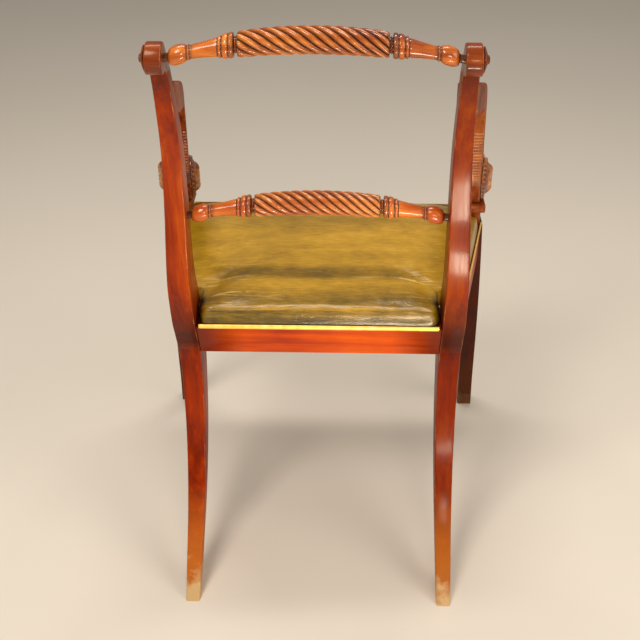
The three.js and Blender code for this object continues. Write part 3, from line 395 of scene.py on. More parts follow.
# Jute and linen, plain woven: threads 1 mm apart for the webbing and 1.4 mm for the hessian
def makeWoven(name, thread, dark, light):
    material, tree, shader, out = newMaterial(name)
    spot = add(tree, "ShaderNodeTexCoord").outputs["Object"]
    parts = add(tree, "ShaderNodeSeparateXYZ", {0: spot})
    waves = []
    for axis in (0, 1):
        turn = add(tree, "ShaderNodeMath", {0: parts.outputs[axis], 1: math.pi * 1000 / thread}, operation="MULTIPLY")
        waves.append(add(tree, "ShaderNodeMath", {0: turn}, operation="SINE"))
    over = add(tree, "ShaderNodeMath", {0: waves[0], 1: waves[1]}, operation="MULTIPLY")
    hairs = add(tree, "ShaderNodeTexNoise", {"Vector": spot, "Scale": 500.0, "Detail": 4.0})
    height = add(tree, "ShaderNodeMath", {0: over, 1: 0.3, 2: hairs.outputs["Fac"]}, operation="MULTIPLY_ADD")
    tone = add(tree, "ShaderNodeValToRGB", {"Fac": height})
    setStops(tone, [(0.25, dark), (0.75, light)])
    tree.links.new(tone.outputs[0], shader.inputs["Base Color"])
    shader.inputs["Roughness"].default_value = 0.92
    bump = add(tree, "ShaderNodeBump", {"Height": height, "Strength": 0.6, "Distance": 0.0006})
    tree.links.new(bump.outputs[0], shader.inputs["Normal"])
    return material


# Curled horsehair, teased and packed: near black coils about 3 mm across, dull and open
def makeHorsehair():
    material, tree, shader, out = newMaterial("curled_horsehair")
    spot = add(tree, "ShaderNodeTexCoord").outputs["Object"]
    coil = add(tree, "ShaderNodeTexNoise", {"Vector": spot, "Scale": 330.0, "Detail": 6.0, "Distortion": 2.5})
    tone = add(tree, "ShaderNodeValToRGB", {"Fac": coil})
    setStops(tone, [(0.35, "#1d1712"), (0.7, "#5d4c3b")])
    tree.links.new(tone.outputs[0], shader.inputs["Base Color"])
    shader.inputs["Roughness"].default_value = 0.95
    bump = add(tree, "ShaderNodeBump", {"Height": coil, "Strength": 0.9, "Distance": 0.002})
    tree.links.new(bump.outputs[0], shader.inputs["Normal"])
    return material


beech = makeBeech()
brass = makeBrass()
steel = makeSteel()
leather = makeLeather()
webbingCloth = makeWoven("jute_webbing", 1.6, "#7d6a48", "#b59f74")
hessianCloth = makeWoven("jute_hessian", 1.4, "#7a6136", "#b3935c")
horsehair = makeHorsehair()
print("materials made")


# A smooth value at a place, from rows whose first column is the place
def smoothAt(rows, place, column):
    last = len(rows) - 1
    row = 0
    while row < last - 1 and place > rows[row + 1][0]:
        row += 1

    def slope(index):
        before, after = rows[max(index - 1, 0)], rows[min(index + 1, last)]
        return (after[column] - before[column]) / (after[0] - before[0])

    span = rows[row + 1][0] - rows[row][0]
    t = (place - rows[row][0]) / span
    start = rows[row][column]
    rise = rows[row + 1][column] - start
    leave, arrive = slope(row) * span, slope(row + 1) * span
    return start + t * (leave + t * (3 * rise - 2 * leave - arrive + t * (leave + arrive - 2 * rise)))


# Points of a curve through given points, evenly spaced
def curveThrough(points, count):
    knots = [np.array(p, float) for p in points]
    dense = []
    for i in range(len(knots) - 1):
        a, b, c, d = knots[max(i - 1, 0)], knots[i], knots[i + 1], knots[min(i + 2, len(knots) - 1)]
        for t in np.linspace(0, 1, 12, endpoint=False):
            dense.append(0.5 * (2 * b + (c - a) * t + (2 * a - 5 * b + 4 * c - d) * t ** 2 + (3 * b - a - 3 * c + d) * t ** 3))
    dense.append(knots[-1])
    dense = np.array(dense)
    reach = np.concatenate([[0], np.cumsum(np.linalg.norm(np.diff(dense, axis=0), axis=1))])
    steps = np.linspace(0, reach[-1], count)
    return np.stack([np.interp(steps, reach, dense[:, k]) for k in range(dense.shape[1])], 1)


def arc(centre, radius, start, stop, count):
    angles = np.radians(np.linspace(start, stop, count))
    return np.stack([centre[0] + radius * np.cos(angles), centre[1] + radius * np.sin(angles)], 1)


def makeObject(name, vertices, faces, material, sharp=50, attributes=None):
    mesh = bpy.data.meshes.new(name)
    mesh.from_pydata([tuple(v) for v in vertices], [], faces)
    for key, values in (attributes or {}).items():
        held = mesh.attributes.new(key, "FLOAT", "POINT")
        held.data.foreach_set("value", np.array(values, np.float32))
    mesh.materials.append(material)
    piece = bpy.data.objects.new(name, mesh)
    scene.collection.objects.link(piece)
    turnOut(piece)
    mesh.shade_smooth()
    mesh.set_sharp_from_angle(angle=math.radians(sharp))
    return piece


def turnOut(piece):
    shape = bmesh.new()
    shape.from_mesh(piece.data)
    bmesh.ops.remove_doubles(shape, verts=shape.verts, dist=1e-6)
    bmesh.ops.recalc_face_normals(shape, faces=shape.faces)
    shape.to_mesh(piece.data)
    shape.free()


# Joins pieces into the first one
def joined(name, pieces):
    first = pieces[0]
    materials = []
    shape = bmesh.new()
    for piece in pieces:
        start = len(shape.faces)
        shape.from_mesh(piece.data)
        shape.faces.ensure_lookup_table()
        own = [m for m in piece.data.materials if m]
        for m in own:
            if m not in materials:
                materials.append(m)
        for face in shape.faces[start:]:
            face.material_index = materials.index(own[-1])
    mesh = bpy.data.meshes.new(name)
    shape.to_mesh(mesh)
    shape.free()
    for m in materials:
        mesh.materials.append(m)
    for piece in pieces:
        bpy.data.objects.remove(piece)
    made = bpy.data.objects.new(name, mesh)
    scene.collection.objects.link(made)
    return made


def finishPiece(piece, slot, *nodes):
    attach(piece, "root")
    if nodes:
        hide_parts(*nodes)
    return piece


# A plank cut to an outline, with rounded arrises. heel and face run up its two edges, crown goes
# round its end from one to the other, and place turns a share of the thickness into a point.
def plank(name, heel, face, crown, centre, place, width, arris, material):
    heel, face = np.array(heel), np.array(face)
    crown = np.array(crown) if crown is not None else np.zeros((0, 2))
    line = np.concatenate([heel, crown, face[::-1]])
    count, rungs = len(line), len(heel)
    before, after = np.roll(line, 1, 0), np.roll(line, -1, 0)
    area = np.sum(line[:, 0] * after[:, 1] - after[:, 0] * line[:, 1])
    turn = 1 if area > 0 else -1

    def normals(a, b):
        step = b - a
        step = step / np.maximum(np.linalg.norm(step, axis=1, keepdims=True), 1e-9)
        return turn * np.stack([-step[:, 1], step[:, 0]], 1)

    first, second = normals(before, line), normals(line, after)
    bisector = (first + second) / np.maximum(1 + np.sum(first * second, 1, keepdims=True), 0.35)
    vertices, wear_and_sheen = [], []
    steps = 4
    profile = [(1 - math.sin(k * math.pi / 2 / steps), 1 - math.cos(k * math.pi / 2 / steps)) for k in range(steps + 1)]
    rings = [(inset, across, 0) for inset, across in profile] + [(inset, across, 1) for inset, across in profile[::-1]]
    rubs = [0.0, 0.5, 1.0, 0.7, 0.0]
    for index, (inset, across, end) in enumerate(rings):
        moved = line + bisector * inset * arris
        rubAndSheen = rubs[index] if index <= steps else rubs[len(rings) - 1 - index]
        for f, h in moved:
            share = across * arris / width(f, h)
            vertices.append(place(f, h, 1 - share if end else share))
            wear_and_sheen.append(rubAndSheen)
    faces = []
    for ring in range(len(rings) - 1):
        for k in range(count):
            n = (k + 1) % count
            faces.append((ring * count + k, ring * count + n, (ring + 1) * count + n, (ring + 1) * count + k))
    for start, end in ((0, 0), ((len(rings) - 1) * count, 1)):
        for k in range(rungs - 1):
            faces.append((start + k, start + k + 1, start + count - 2 - k, start + count - 1 - k))
        if len(crown):
            middle = len(vertices)
            vertices.append(place(centre[0], centre[1], float(end)))
            wear_and_sheen.append(0.0)
            loop = list(range(rungs - 1, rungs + len(crown) + 1))
            for a, b in zip(loop, loop[1:] + loop[:1]):
                faces.append((start + a, start + b, middle))
    return makeObject(name, vertices, faces, material, 35, {"wear_and_sheen": wear_and_sheen, "dirt_and_shade": [0.0] * len(vertices)})


# A turned shape about a line along x: rows are place, radius, and how dirty the spot is, with painted shade in the
# hollows
def turning(name, rows, axis, count, material, side=1):
    vertices, faces, dirt_and_shade, wear_and_sheen = [], [], [], []
    for place, radius, grimeAndShade in rows:
        x, y, z = axis(place)
        for k in range(count):
            angle = 2 * math.pi * k / count
            offset = Vector((0, math.sin(angle), math.cos(angle))) * float(0.001 * radius)
            vertices.append(Vector((x, y, z)) + offset)
            dirt_and_shade.append(grimeAndShade)
            wear_and_sheen.append(0.6)
    for row in range(len(rows) - 1):
        for k in range(count):
            n = (k + 1) % count
            faces.append((row * count + k, row * count + n, (row + 1) * count + n, (row + 1) * count + k))
    for row in (0, len(rows) - 1):
        middle = len(vertices)
        vertices.append(Vector(axis(rows[row][0])))
        dirt_and_shade.append(rows[row][2])
        wear_and_sheen.append(0.0)
        for k in range(count):
            faces.append((row * count + k, row * count + (k + 1) % count, middle))
    return makeObject(name, vertices, faces, material, 40, {"dirt_and_shade": dirt_and_shade, "wear_and_sheen": wear_and_sheen})


# Rounds the corners of a line of points, twice
def rounded(points, share=0.22):
    for unused in range(2):
        cut = [points[0]]
        for a, b in zip(points, points[1:]):
            a, b = np.array(a, float), np.array(b, float)
            cut += [tuple(a + (b - a) * share), tuple(b - (b - a) * share)]
        points = cut + [points[-1]]
    return points


# A plain mesh from an object's evaluated modifier
def plainMesh(piece, name):
    held = bpy.data.meshes.new_from_object(piece.evaluated_get(bpy.context.evaluated_depsgraph_get()))
    made = bpy.data.objects.new(name, held)
    scene.collection.objects.link(made)
    bpy.data.objects.remove(piece)
    return made


def newTree(name, sizes):
    tree = bpy.data.node_groups.new(name, "GeometryNodeTree")
    tree.interface.new_socket("Geometry", in_out="INPUT", socket_type="NodeSocketGeometry")
    for key, kind in sizes.items():
        tree.interface.new_socket(key, in_out="INPUT", socket_type=kind)
    tree.interface.new_socket("Geometry", in_out="OUTPUT", socket_type="NodeSocketGeometry")
    return tree, add(tree, "NodeGroupInput"), add(tree, "NodeGroupOutput")


def grown(piece, tree, values):
    modifier = piece.modifiers.new(tree.name, "NODES")
    modifier.node_group = tree
    for item in tree.interface.items_tree:
        if item.in_out == "INPUT" and item.name in values:
            modifier[item.identifier] = values[item.name]
    return piece


uprights = {
    "scrollHeight": 816.0, "sweep": 147.0, "halfGap": 175.0, "lean": 17.0, "width": 30.3, "depth": 62.0,
    "joint": 360.0, "scrollRadius": 17.3, "scrollForward": 8.0, "seatTop": 413.0, "seatShare": 0.506,
    "neck": 0.973, "arris": 1.9,
    # share of height, heel sweep, depth, width
    "rows": [
        (0, 0, .484, .663), (.049, .238, .5, .726), (.11, .558, .532, .799), (.184, .816, .581, .875),
        (.27, .973, .645, .937), (.355, 1, .742, .974), (.417, .959, .871, .99), (.456, .871, 1, .997),
        (.484, .796, 1.02, 1), (.515, .707, 1.01, 1), (.551, .633, .968, .983), (.6, .55, .839, .954),
        (.662, .542, .677, .908), (.735, .558, .565, .848), (.833, .503, .468, .759), (.931, .286, .387, .667),
        (.98, .143, .355, .624),
    ],
}


def uprightShare(height):
    seat, top = uprights["seatTop"], uprights["scrollHeight"]
    share = uprights["seatShare"]
    return share * height / seat if height < seat else share + (1 - share) * (height - seat) / (top - seat)


def innerHalf(height):
    return uprights["halfGap"] - uprights["lean"] * height / uprights["scrollHeight"]


def heelAt(height):
    return uprights["sweep"] * smoothAt(uprights["rows"], uprightShare(height), 1)


def faceAt(height):
    return heelAt(height) + uprights["depth"] * smoothAt(uprights["rows"], uprightShare(height), 2)


def widthAt(height):
    return uprights["width"] * smoothAt(uprights["rows"], uprightShare(height), 3)


def makeUpright(word, side):
    def place(forward, height, share):
        return world(side * (innerHalf(height) + share * widthAt(height)), forward, height)

    def width(forward, height):
        return widthAt(height)

    low = np.linspace(0, uprights["joint"] - 0.3, 60)
    leg = plank(f"rear_leg_{word}_dressed", [(heelAt(z), z) for z in low], [(faceAt(z), z) for z in low], None, None, place, width, uprights["arris"], legWood)
    finishPiece(leg, "mahogany", f"rear_leg_{word}")
    neck = uprights["scrollHeight"] * uprights["neck"]
    high = np.linspace(uprights["joint"], neck, 76)
    centre = (uprights["scrollForward"], uprights["scrollHeight"])
    roll = arc(centre, uprights["scrollRadius"], -58, -308, 48)
    stile = plank(f"stile_{word}_dressed", [(heelAt(z), z) for z in high], [(faceAt(z), z) for z in high], roll, centre, place, width, uprights["arris"], stileWood)
    # The scroll is given a darker, browner mahogany than the stile below it
    stile.data.materials.append(scrollWood)
    for polygon in stile.data.polygons:
        if polygon.center.z > 0.7975:
            polygon.material_index = 1
    finishPiece(stile, "mahogany", f"stile_{word}")


button = {"radius": 13.5, "height": 6.5, "rows": [(1, -.03), (1.02, .05), (1, .15), (.93, .22), (.8, .3), (.74, .36), (.6, .46), (.4, .62), (.34, .74), (.34, .82), (.28, .93), (.16, 1), (0.02, 1.02)]}


def makeButton(word, side):
    base = innerHalf(uprights["scrollHeight"]) + widthAt(uprights["scrollHeight"] * uprights["neck"]) + 0.3
    rows = [(base + h * button["height"], r * button["radius"], 0.75 if 0.2 < h < 0.34 else 0.1) for r, h in button["rows"]]

    def axis(place):
        return world(side * place, uprights["scrollForward"], uprights["scrollHeight"])

    piece = turning(f"scroll_button_{word}_dressed", rows, axis, 48, scrollWood)
    finishPiece(piece, "mahogany", f"scroll_button_{word}")


for word, side in (("left", 1), ("right", -1)):
    makeUpright(word, side)
    makeButton(word, side)
print("rear uprights made")


backRails = {
    "crest": {"height": 816.0, "forward": 8.0, "rise": 20.0, "radius": 13.6, "end": 79.0, "groove": 0.4},
    "lower": {
        "height": 587.0, "forward": heelAt(587.0) + 17.0, "rise": 19.0, "radius": 14.2, "end": 85.0, "groove": 0.44,
    },
    "lead": 105.0, "starts": 8, "swell": 0.09, "depth": 4.6,
    # place along the turned end from the upright, radius share, dirt and painted shade
    "turning": [
        (.0, .34, .9), (.075, .34, .9), (.08, .5, .8), (.086, .58, .5), (.12, .7, .1), (.18, .79, 0),
        (.25, .77, .0), (.3, .68, .1), (.318, .58, .5), (.326, .54, .9), (.334, .55, .7), (.342, .63, .1),
        (.352, .64, .1), (.36, .57, .7), (.368, .53, .9), (.385, .53, .5), (.42, .555, .05), (.56, .615, 0),
        (.732, .75, 0), (.737, .71, .9), (.745, .71, .9), (.75, .83, .2), (.767, .88, 0), (.784, .84, .3),
        (.79, .8, .95), (.8, .8, .95), (.806, .89, .3), (.822, .95, 0), (.85, .98, 0), (.872, .96, .2),
        (.879, .9, .9), (.887, .9, .9), (.893, .97, .5), (.92, 1.0, .45), (.945, .96, .6), (.953, .84, .9),
        (.958, .6, 1), (.966, .6, .7), (.976, .7, 0), (.986, .6, .7), (1.02, .6, 1),
    ],
}


# The rope twist: a tube whose ridges are half round and turn with its length, on an arched line
def makeTwistTree():
    sizes = {
        "Half Length": "NodeSocketFloat", "Half Span": "NodeSocketFloat", "Rise": "NodeSocketFloat", "Radius": "NodeSocketFloat",
        "Swell": "NodeSocketFloat", "Ridge Depth": "NodeSocketFloat", "Ridges": "NodeSocketInt", "Lead": "NodeSocketFloat", "Groove Start": "NodeSocketFloat",
        "End Round": "NodeSocketFloat", "Middle": "NodeSocketVector", "Wood": "NodeSocketMaterial",
    }
    tree, given, out = newTree("rope_twist", sizes)
    size = given.outputs

    def maths(kind, *values):
        return add(tree, "ShaderNodeMath", dict(enumerate(values)), operation=kind).outputs[0]

    grid = add(tree, "GeometryNodeMeshGrid", {"Size X": 1.0, "Size Y": 1.0, "Vertices X": 241, "Vertices Y": 193})
    spot = add(tree, "ShaderNodeSeparateXYZ", {0: add(tree, "GeometryNodeInputPosition")})
    share = maths("MULTIPLY", spot.outputs[0], 2.0)
    along = maths("MULTIPLY", share, size["Half Length"])
    around = maths("ADD", spot.outputs[1], 0.5)
    strand = maths("FRACT", maths("MULTIPLY", maths("ADD", around, 0.0001), size["Ridges"]))
    off = maths("ABSOLUTE", maths("MULTIPLY_ADD", strand, 2.0, -1.0))
    bow = maths("SQRT", maths("MAXIMUM", maths("SUBTRACT", 1.0, maths("MULTIPLY", maths("POWER", off, 1.7), 0.985)), 0.0))
    cut = maths("MULTIPLY", maths("SUBTRACT", 1.0, bow), size["Ridge Depth"])
    swelling = maths("MULTIPLY_ADD", maths("SUBTRACT", 1.0, maths("POWER", maths("ABSOLUTE", share), 2.0)), size["Swell"], 1.0)
    fromEnd = maths("SUBTRACT", size["Half Length"], maths("ABSOLUTE", along))
    ending = maths("MAXIMUM", maths("SUBTRACT", 1.0, maths("DIVIDE", fromEnd, size["End Round"])), 0.0)
    taper = maths("SUBTRACT", 1.0, maths("MULTIPLY", maths("POWER", ending, 2.0), 0.12))
    reach = maths("MULTIPLY", maths("SUBTRACT", maths("MULTIPLY", swelling, size["Radius"]), cut), taper)
    turned = maths("SUBTRACT", maths("MULTIPLY", around, 2 * math.pi), maths("DIVIDE", maths("MULTIPLY", along, 2 * math.pi), size["Lead"]))
    spread = maths("DIVIDE", along, size["Half Span"])
    arch = maths("MULTIPLY", maths("SUBTRACT", 1.0, maths("MULTIPLY", spread, spread)), size["Rise"])
    y = maths("MULTIPLY", maths("SINE", turned), reach)
    z = maths("MULTIPLY_ADD", maths("COSINE", turned), reach, arch)
    # Grooves darken, as dirt and painted shade, and so do the twist's ends by the turnings; ridge tops lighten, as wear
    # and a painted highlight
    groove = maths("MULTIPLY", maths("SUBTRACT", off, size["Groove Start"]), 1.75)
    dirtAndShadeValue = maths("MINIMUM", maths("MAXIMUM", groove, maths("POWER", ending, 3.0)), 1.0)
    wearAndSheenValue = maths("SUBTRACT", 1.0, maths("MINIMUM", maths("MULTIPLY", off, 1.6), 1.0))
    marked = grid
    for key, value in (("dirt_and_shade", dirtAndShadeValue), ("wear_and_sheen", wearAndSheenValue)):
        stored = {"Geometry": marked, "Name": key, "Value": value}
        marked = add(tree, "GeometryNodeStoreNamedAttribute", stored, data_type="FLOAT", domain="POINT")
    place = add(tree, "ShaderNodeCombineXYZ", {0: along, 1: y, 2: z})
    placed = {"Geometry": marked, "Position": place, "Offset": size["Middle"]}
    moved = add(tree, "GeometryNodeSetPosition", placed)
    shut = add(tree, "GeometryNodeMergeByDistance", {"Geometry": moved, "Distance": 2e-6})
    real = add(tree, "GeometryNodeRealizeInstances", {"Geometry": shut})
    wooded = add(tree, "GeometryNodeSetMaterial", {"Geometry": real, "Material": size["Wood"]})
    tree.links.new(wooded.outputs[0], out.inputs[0])
    return tree


twistTree = makeTwistTree()


def makeBackRail(name, node, sizes, wood, endWood):
    half = innerHalf(sizes["height"])
    twistHalf = half - sizes["end"]

    def axis(x):
        spread = min(abs(x) / half, 1)
        return world(x, sizes["forward"], sizes["height"] + sizes["rise"] * (1 - spread * spread))

    ends = []
    for side in (1, -1):
        line = rounded([(place, share) for place, share, grimeAndShade in backRails["turning"]], 0.2)
        places = [row[0] for row in backRails["turning"]]
        grimesAndShade = [row[2] for row in backRails["turning"]]
        rows = [(side * (half - place * sizes["end"]), share * sizes["radius"], float(np.interp(place, places, grimesAndShade))) for place, share in line]
        ends.append(turning(f"{name}_end", rows, axis, 56, endWood))
    seed = makeObject(f"{name}_seed", [(0, 0, 0), (0.001, 0, 0), (0, 0.001, 0)], [(0, 1, 2)], wood)
    values = {
        "Half Length": twistHalf * 0.001, "Half Span": half * 0.001, "Rise": sizes["rise"] * 0.001, "Radius": sizes["radius"] * 0.001,
        "Swell": backRails["swell"], "Ridge Depth": backRails["depth"] * 0.001, "Ridges": backRails["starts"], "Lead": backRails["lead"] * 0.001,
        "End Round": 0.004, "Groove Start": sizes["groove"], "Middle": tuple(world(0, sizes["forward"], sizes["height"])), "Wood": wood,
    }
    twist = plainMesh(grown(seed, twistTree, values), f"{name}_twist")
    shape = bmesh.new()
    shape.from_mesh(twist.data)
    bmesh.ops.holes_fill(shape, edges=[e for e in shape.edges if e.is_boundary], sides=0)
    bmesh.ops.triangulate(shape, faces=[f for f in shape.faces if len(f.verts) > 4])
    bmesh.ops.recalc_face_normals(shape, faces=shape.faces)
    shape.to_mesh(twist.data)
    shape.free()
    twist.data.shade_smooth()
    rail = joined(name, [twist, *ends])
    finishPiece(rail, "mahogany", node)


makeBackRail("crest_rail_dressed", "crest_rail", backRails["crest"], crestTwistWood, turnedWood)
makeBackRail("lower_back_rail_dressed", "lower_back_rail", backRails["lower"], lowerTwistWood, redTurnedWood)
print("back rails made")


frontLegs = {
    "sweep": 68.0, "topHeel": 425.0, "depth": 53.0, "width": 28.0, "outer": 272.5, "lean": 18.5, "top": 413.0,
    "rows": [(0, 1, .566, .893), (.145, .853, .585, .879), (.29, .632, .623, .893), (.484, .338, .698, .929), (.678, .118, .811, .964), (.823, .029, .925, 1), (.906, 0, .981, 1), (1, 0, 1, 1)],
}


def frontOuter(height):
    return frontLegs["outer"] - frontLegs["lean"] * height / frontLegs["top"]


def frontWidth(height):
    return frontLegs["width"] * smoothAt(frontLegs["rows"], height / frontLegs["top"], 3)


def frontHeel(height):
    return frontLegs["topHeel"] + frontLegs["sweep"] * smoothAt(frontLegs["rows"], height / frontLegs["top"], 1)


def frontFace(height):
    return frontHeel(height) + frontLegs["depth"] * smoothAt(frontLegs["rows"], height / frontLegs["top"], 2)


def makeFrontLeg(word, side):
    def place(forward, height, share):
        return world(side * (frontOuter(height) - (1 - share) * frontWidth(height)), forward, height)

    rows = np.linspace(0, frontLegs["top"], 64)
    leg = plank(f"front_leg_{word}_dressed", [(frontHeel(z), z) for z in rows], [(frontFace(z), z) for z in rows], None, None, place, lambda f, z: frontWidth(z), 1.8, frontLegShadeWood)
    finishPiece(leg, "mahogany", f"front_leg_{word}")


# A copy of a squared-up solid, merged, with its arrises eased
def eased(node, name, material, slot, width=0.8):
    piece = bpy.data.objects.new(name, frame["nodes"][node].data.copy())
    scene.collection.objects.link(piece)
    shape = bmesh.new()
    shape.from_mesh(piece.data)
    bmesh.ops.remove_doubles(shape, verts=shape.verts, dist=2e-5)
    bmesh.ops.dissolve_limit(shape, angle_limit=math.radians(1.0), verts=shape.verts, edges=shape.edges)
    sharp = [e for e in shape.edges if len(e.link_faces) == 2 and e.calc_face_angle(0) > math.radians(35)]
    bmesh.ops.bevel(shape, geom=sharp, offset=width * 0.001, segments=3, profile=0.5, affect="EDGES", clamp_overlap=True)
    bmesh.ops.triangulate(shape, faces=[f for f in shape.faces if len(f.verts) > 4])
    shape.to_mesh(piece.data)
    shape.free()
    piece.data.materials.clear()
    piece.data.materials.append(material)
    piece.data.shade_smooth()
    piece.data.set_sharp_from_angle(angle=math.radians(40))
    finishPiece(piece, slot, node)
    return piece


for word, side in (("left", 1), ("right", -1)):
    makeFrontLeg(word, side)
    eased(f"side_seat_rail_{word}", f"side_seat_rail_{word}_dressed", sideRailWood, "mahogany")
    for corner in ("rear", "front"):
        eased(f"corner_block_{corner}_{word}", f"corner_block_{corner}_{word}_dressed", beech, "inner_wood", 0.5)
eased("rear_seat_rail", "rear_seat_rail_dressed", railWood, "mahogany")
eased("front_seat_rail", "front_seat_rail_dressed", railWood, "mahogany")
print("legs and seat rails made")


arms = {
    "top": 774.0, "rootDrop": 34.0, "centre": 168.8, "splay": 61.5, "half": 17.3, "radius": 38.0,
    "forward": 432.0, "height": 490.0, "blockLow": 443.0, "blockHeight": 13.4, "blockReach": 29.0, "blockHalf": 21.7,
    "neckHalf": 12.0, "neckDepth": 32.0, "neckSetback": 2.0, "neckAcross": 236.3, "arris": 2.2,
    "plan": [(0, 0, .636), (.257, .25, .84), (.52, .51, .985), (.652, .637, 1), (.784, .767, 1), (1, 1, 1), (1.1, 1.108, 1)],
    "upper": [(.177, .092), (.388, .176), (.568, .264), (.694, .342), (.784, .433), (.839, .55), (.873, .665), (.91, .754), (.968, .831)],
    "under": [(.177, .218), (.388, .308), (.552, .376), (.665, .43), (.736, .504), (.773, .591)],
    "ribEdge": [(.784, .627), (.797, .718), (.808, .806), (.831, .894), (.868, .954)],
    "ribs": 21, "ribRadius": 2.5, "ribPitch": 5.0,
}
armRoot = faceAt(arms["top"]) + 0.3
armRun = arms["forward"] - armRoot
armFall = arms["top"] - arms["height"]
terminal = (arms["forward"], arms["height"])


def armCentre(forward):
    return arms["centre"] + arms["splay"] * smoothAt(arms["plan"], (forward - armRoot) / armRun, 1)


def armHalf(forward):
    return arms["half"] * smoothAt(arms["plan"], (forward - armRoot) / armRun, 2)


def armPoint(row):
    return (armRoot + row[0] * armRun, arms["top"] - row[1] * armFall)


# Ribs: short half-round bars across the edge, one after another down a line
def makeRibTree():
    sizes = {
        "Ribs": "NodeSocketInt", "Rib Radius": "NodeSocketFloat", "Rib Length": "NodeSocketFloat", "Wood": "NodeSocketMaterial",
    }
    tree, given, out = newTree("edge_ribs", sizes)
    size = given.outputs
    line = add(tree, "GeometryNodeMeshToCurve", {"Mesh": size["Geometry"]})
    points = add(tree, "GeometryNodeResampleCurve", {"Curve": line, "Count": size["Ribs"]})
    bar = add(tree, "GeometryNodeMeshUVSphere", {"Segments": 14, "Rings": 10, "Radius": 1.0})
    scale = add(tree, "ShaderNodeCombineXYZ", {0: size["Rib Length"], 1: size["Rib Radius"], 2: size["Rib Radius"]})
    # A sphere squared towards a bar: its ends stay round
    spot = add(tree, "ShaderNodeSeparateXYZ", {0: add(tree, "GeometryNodeInputPosition")})
    sign = add(tree, "ShaderNodeMath", {0: spot.outputs[0]}, operation="SIGN")
    size0 = add(tree, "ShaderNodeMath", {0: add(tree, "ShaderNodeMath", {0: spot.outputs[0]}, operation="ABSOLUTE"), 1: 0.35}, operation="POWER")
    bowed = add(tree, "ShaderNodeMath", {0: sign, 1: size0}, operation="MULTIPLY")
    stretched = add(tree, "GeometryNodeSetPosition", {"Geometry": bar, "Position": add(tree, "ShaderNodeCombineXYZ", {0: bowed, 1: spot.outputs[1], 2: spot.outputs[2]})})
    put = add(tree, "GeometryNodeInstanceOnPoints", {"Points": points, "Instance": stretched, "Scale": scale})
    real = add(tree, "GeometryNodeRealizeInstances", {"Geometry": put})
    wooded = add(tree, "GeometryNodeSetMaterial", {"Geometry": real, "Material": size["Wood"]})
    tree.links.new(wooded.outputs[0], out.inputs[0])
    return tree


ribTree = makeRibTree()


def boxPlank(name, low, high, arris, material):
    shape = bmesh.new()
    bmesh.ops.create_cube(shape, size=1)
    for vertex in shape.verts:
        vertex.co = Vector([(low[k] + high[k]) / 2 + vertex.co[k] * (high[k] - low[k]) for k in range(3)])
    bmesh.ops.bevel(shape, geom=list(shape.edges), offset=arris, segments=4, profile=0.5, affect="EDGES")
    mesh = bpy.data.meshes.new(name)
    shape.to_mesh(mesh)
    shape.free()
    mesh.materials.append(material)
    mesh.shade_smooth()
    mesh.set_sharp_from_angle(angle=math.radians(40))
    piece = bpy.data.objects.new(name, mesh)
    scene.collection.objects.link(piece)
    return piece


def makeArm(word, side):
    def place(forward, height, share):
        return world(side * (armCentre(forward) + (2 * share - 1) * armHalf(forward)), forward, height)

    def spotOn(angle):
        turn = math.radians(angle)
        return (terminal[0] + arms["radius"] * math.cos(turn), terminal[1] + arms["radius"] * math.sin(turn))

    low = arms["top"] - arms["rootDrop"]
    upper = curveThrough([(faceAt(arms["top"]) + 0.3, arms["top"]), *map(armPoint, arms["upper"]), spotOn(58)], 90)
    ribLine = [*map(armPoint, arms["ribEdge"]), spotOn(185)]
    under = curveThrough([(faceAt(low) + 0.3, low), *map(armPoint, arms["under"]), *ribLine], 90)
    crown = arc(terminal, arms["radius"], 188, 415, 56)
    body = plank(f"arm_{word}_body", under, upper, crown, terminal, place, lambda f, z: 2 * armHalf(f), arms["arris"], armWood)
    middle = side * (armCentre(arms["forward"]) + 1.2)
    block = boxPlank("block", world(middle - arms["blockHalf"], arms["forward"] + arms["blockReach"], arms["blockLow"]), world(middle + arms["blockHalf"], arms["forward"] - arms["blockReach"], arms["blockLow"] + arms["blockHeight"]), 0.0022, armWood)
    across = side * arms["neckAcross"]
    front = arms["forward"] + arms["neckSetback"] + arms["neckDepth"] / 2
    neck = boxPlank("neck", world(across - arms["neckHalf"], front, 413.3), world(across + arms["neckHalf"], front - arms["neckDepth"], arms["blockLow"] + 2), 0.0015, armWood)
    ribs = curveThrough([*ribLine, spotOn(205), spotOn(225)], 80)
    reach = np.concatenate([[0], np.cumsum(np.linalg.norm(np.diff(ribs, axis=0), axis=1))])
    ribs = ribs[reach <= arms["ribs"] * arms["ribPitch"]]
    seed = bpy.data.meshes.new("rib_line")
    seed.from_pydata([place(f + 0.6, z, 0.5) for f, z in ribs], [(k, k + 1) for k in range(len(ribs) - 1)], [])
    line = bpy.data.objects.new("rib_line", seed)
    scene.collection.objects.link(line)
    length = arms["half"] * 0.985
    barred = plainMesh(grown(line, ribTree, {"Ribs": arms["ribs"], "Rib Radius": arms["ribRadius"] * 0.001, "Rib Length": length * 0.001, "Wood": reliefWood}), "ribs")
    barred.data.shade_smooth()
    arm = joined(f"arm_{word}_dressed", [body, block, neck, barred])
    finishPiece(arm, "mahogany", f"arm_{word}")


rosettes = {
    "radius": 33.0, "height": 15.5, "petals": 8, "petalReach": 12.5, "petalLength": 9.0, "petalWidth": 5.2,
    "petalHeight": 3.6, "petalStand": 0.66, "beads": 26, "beadRadius": 2.7, "beadRing": 29.4, "beadStand": 0.21,
    "profile": [
        (0, 0), (1, 0), (1, .12), (.97, .18), (.9, .2), (.83, .28), (.78, .42), (.7, .55), (.55, .68),
        (.4, .77), (.26, .82), (.24, .9), (.17, .98), (.08, 1), (0, 1),
    ],
}


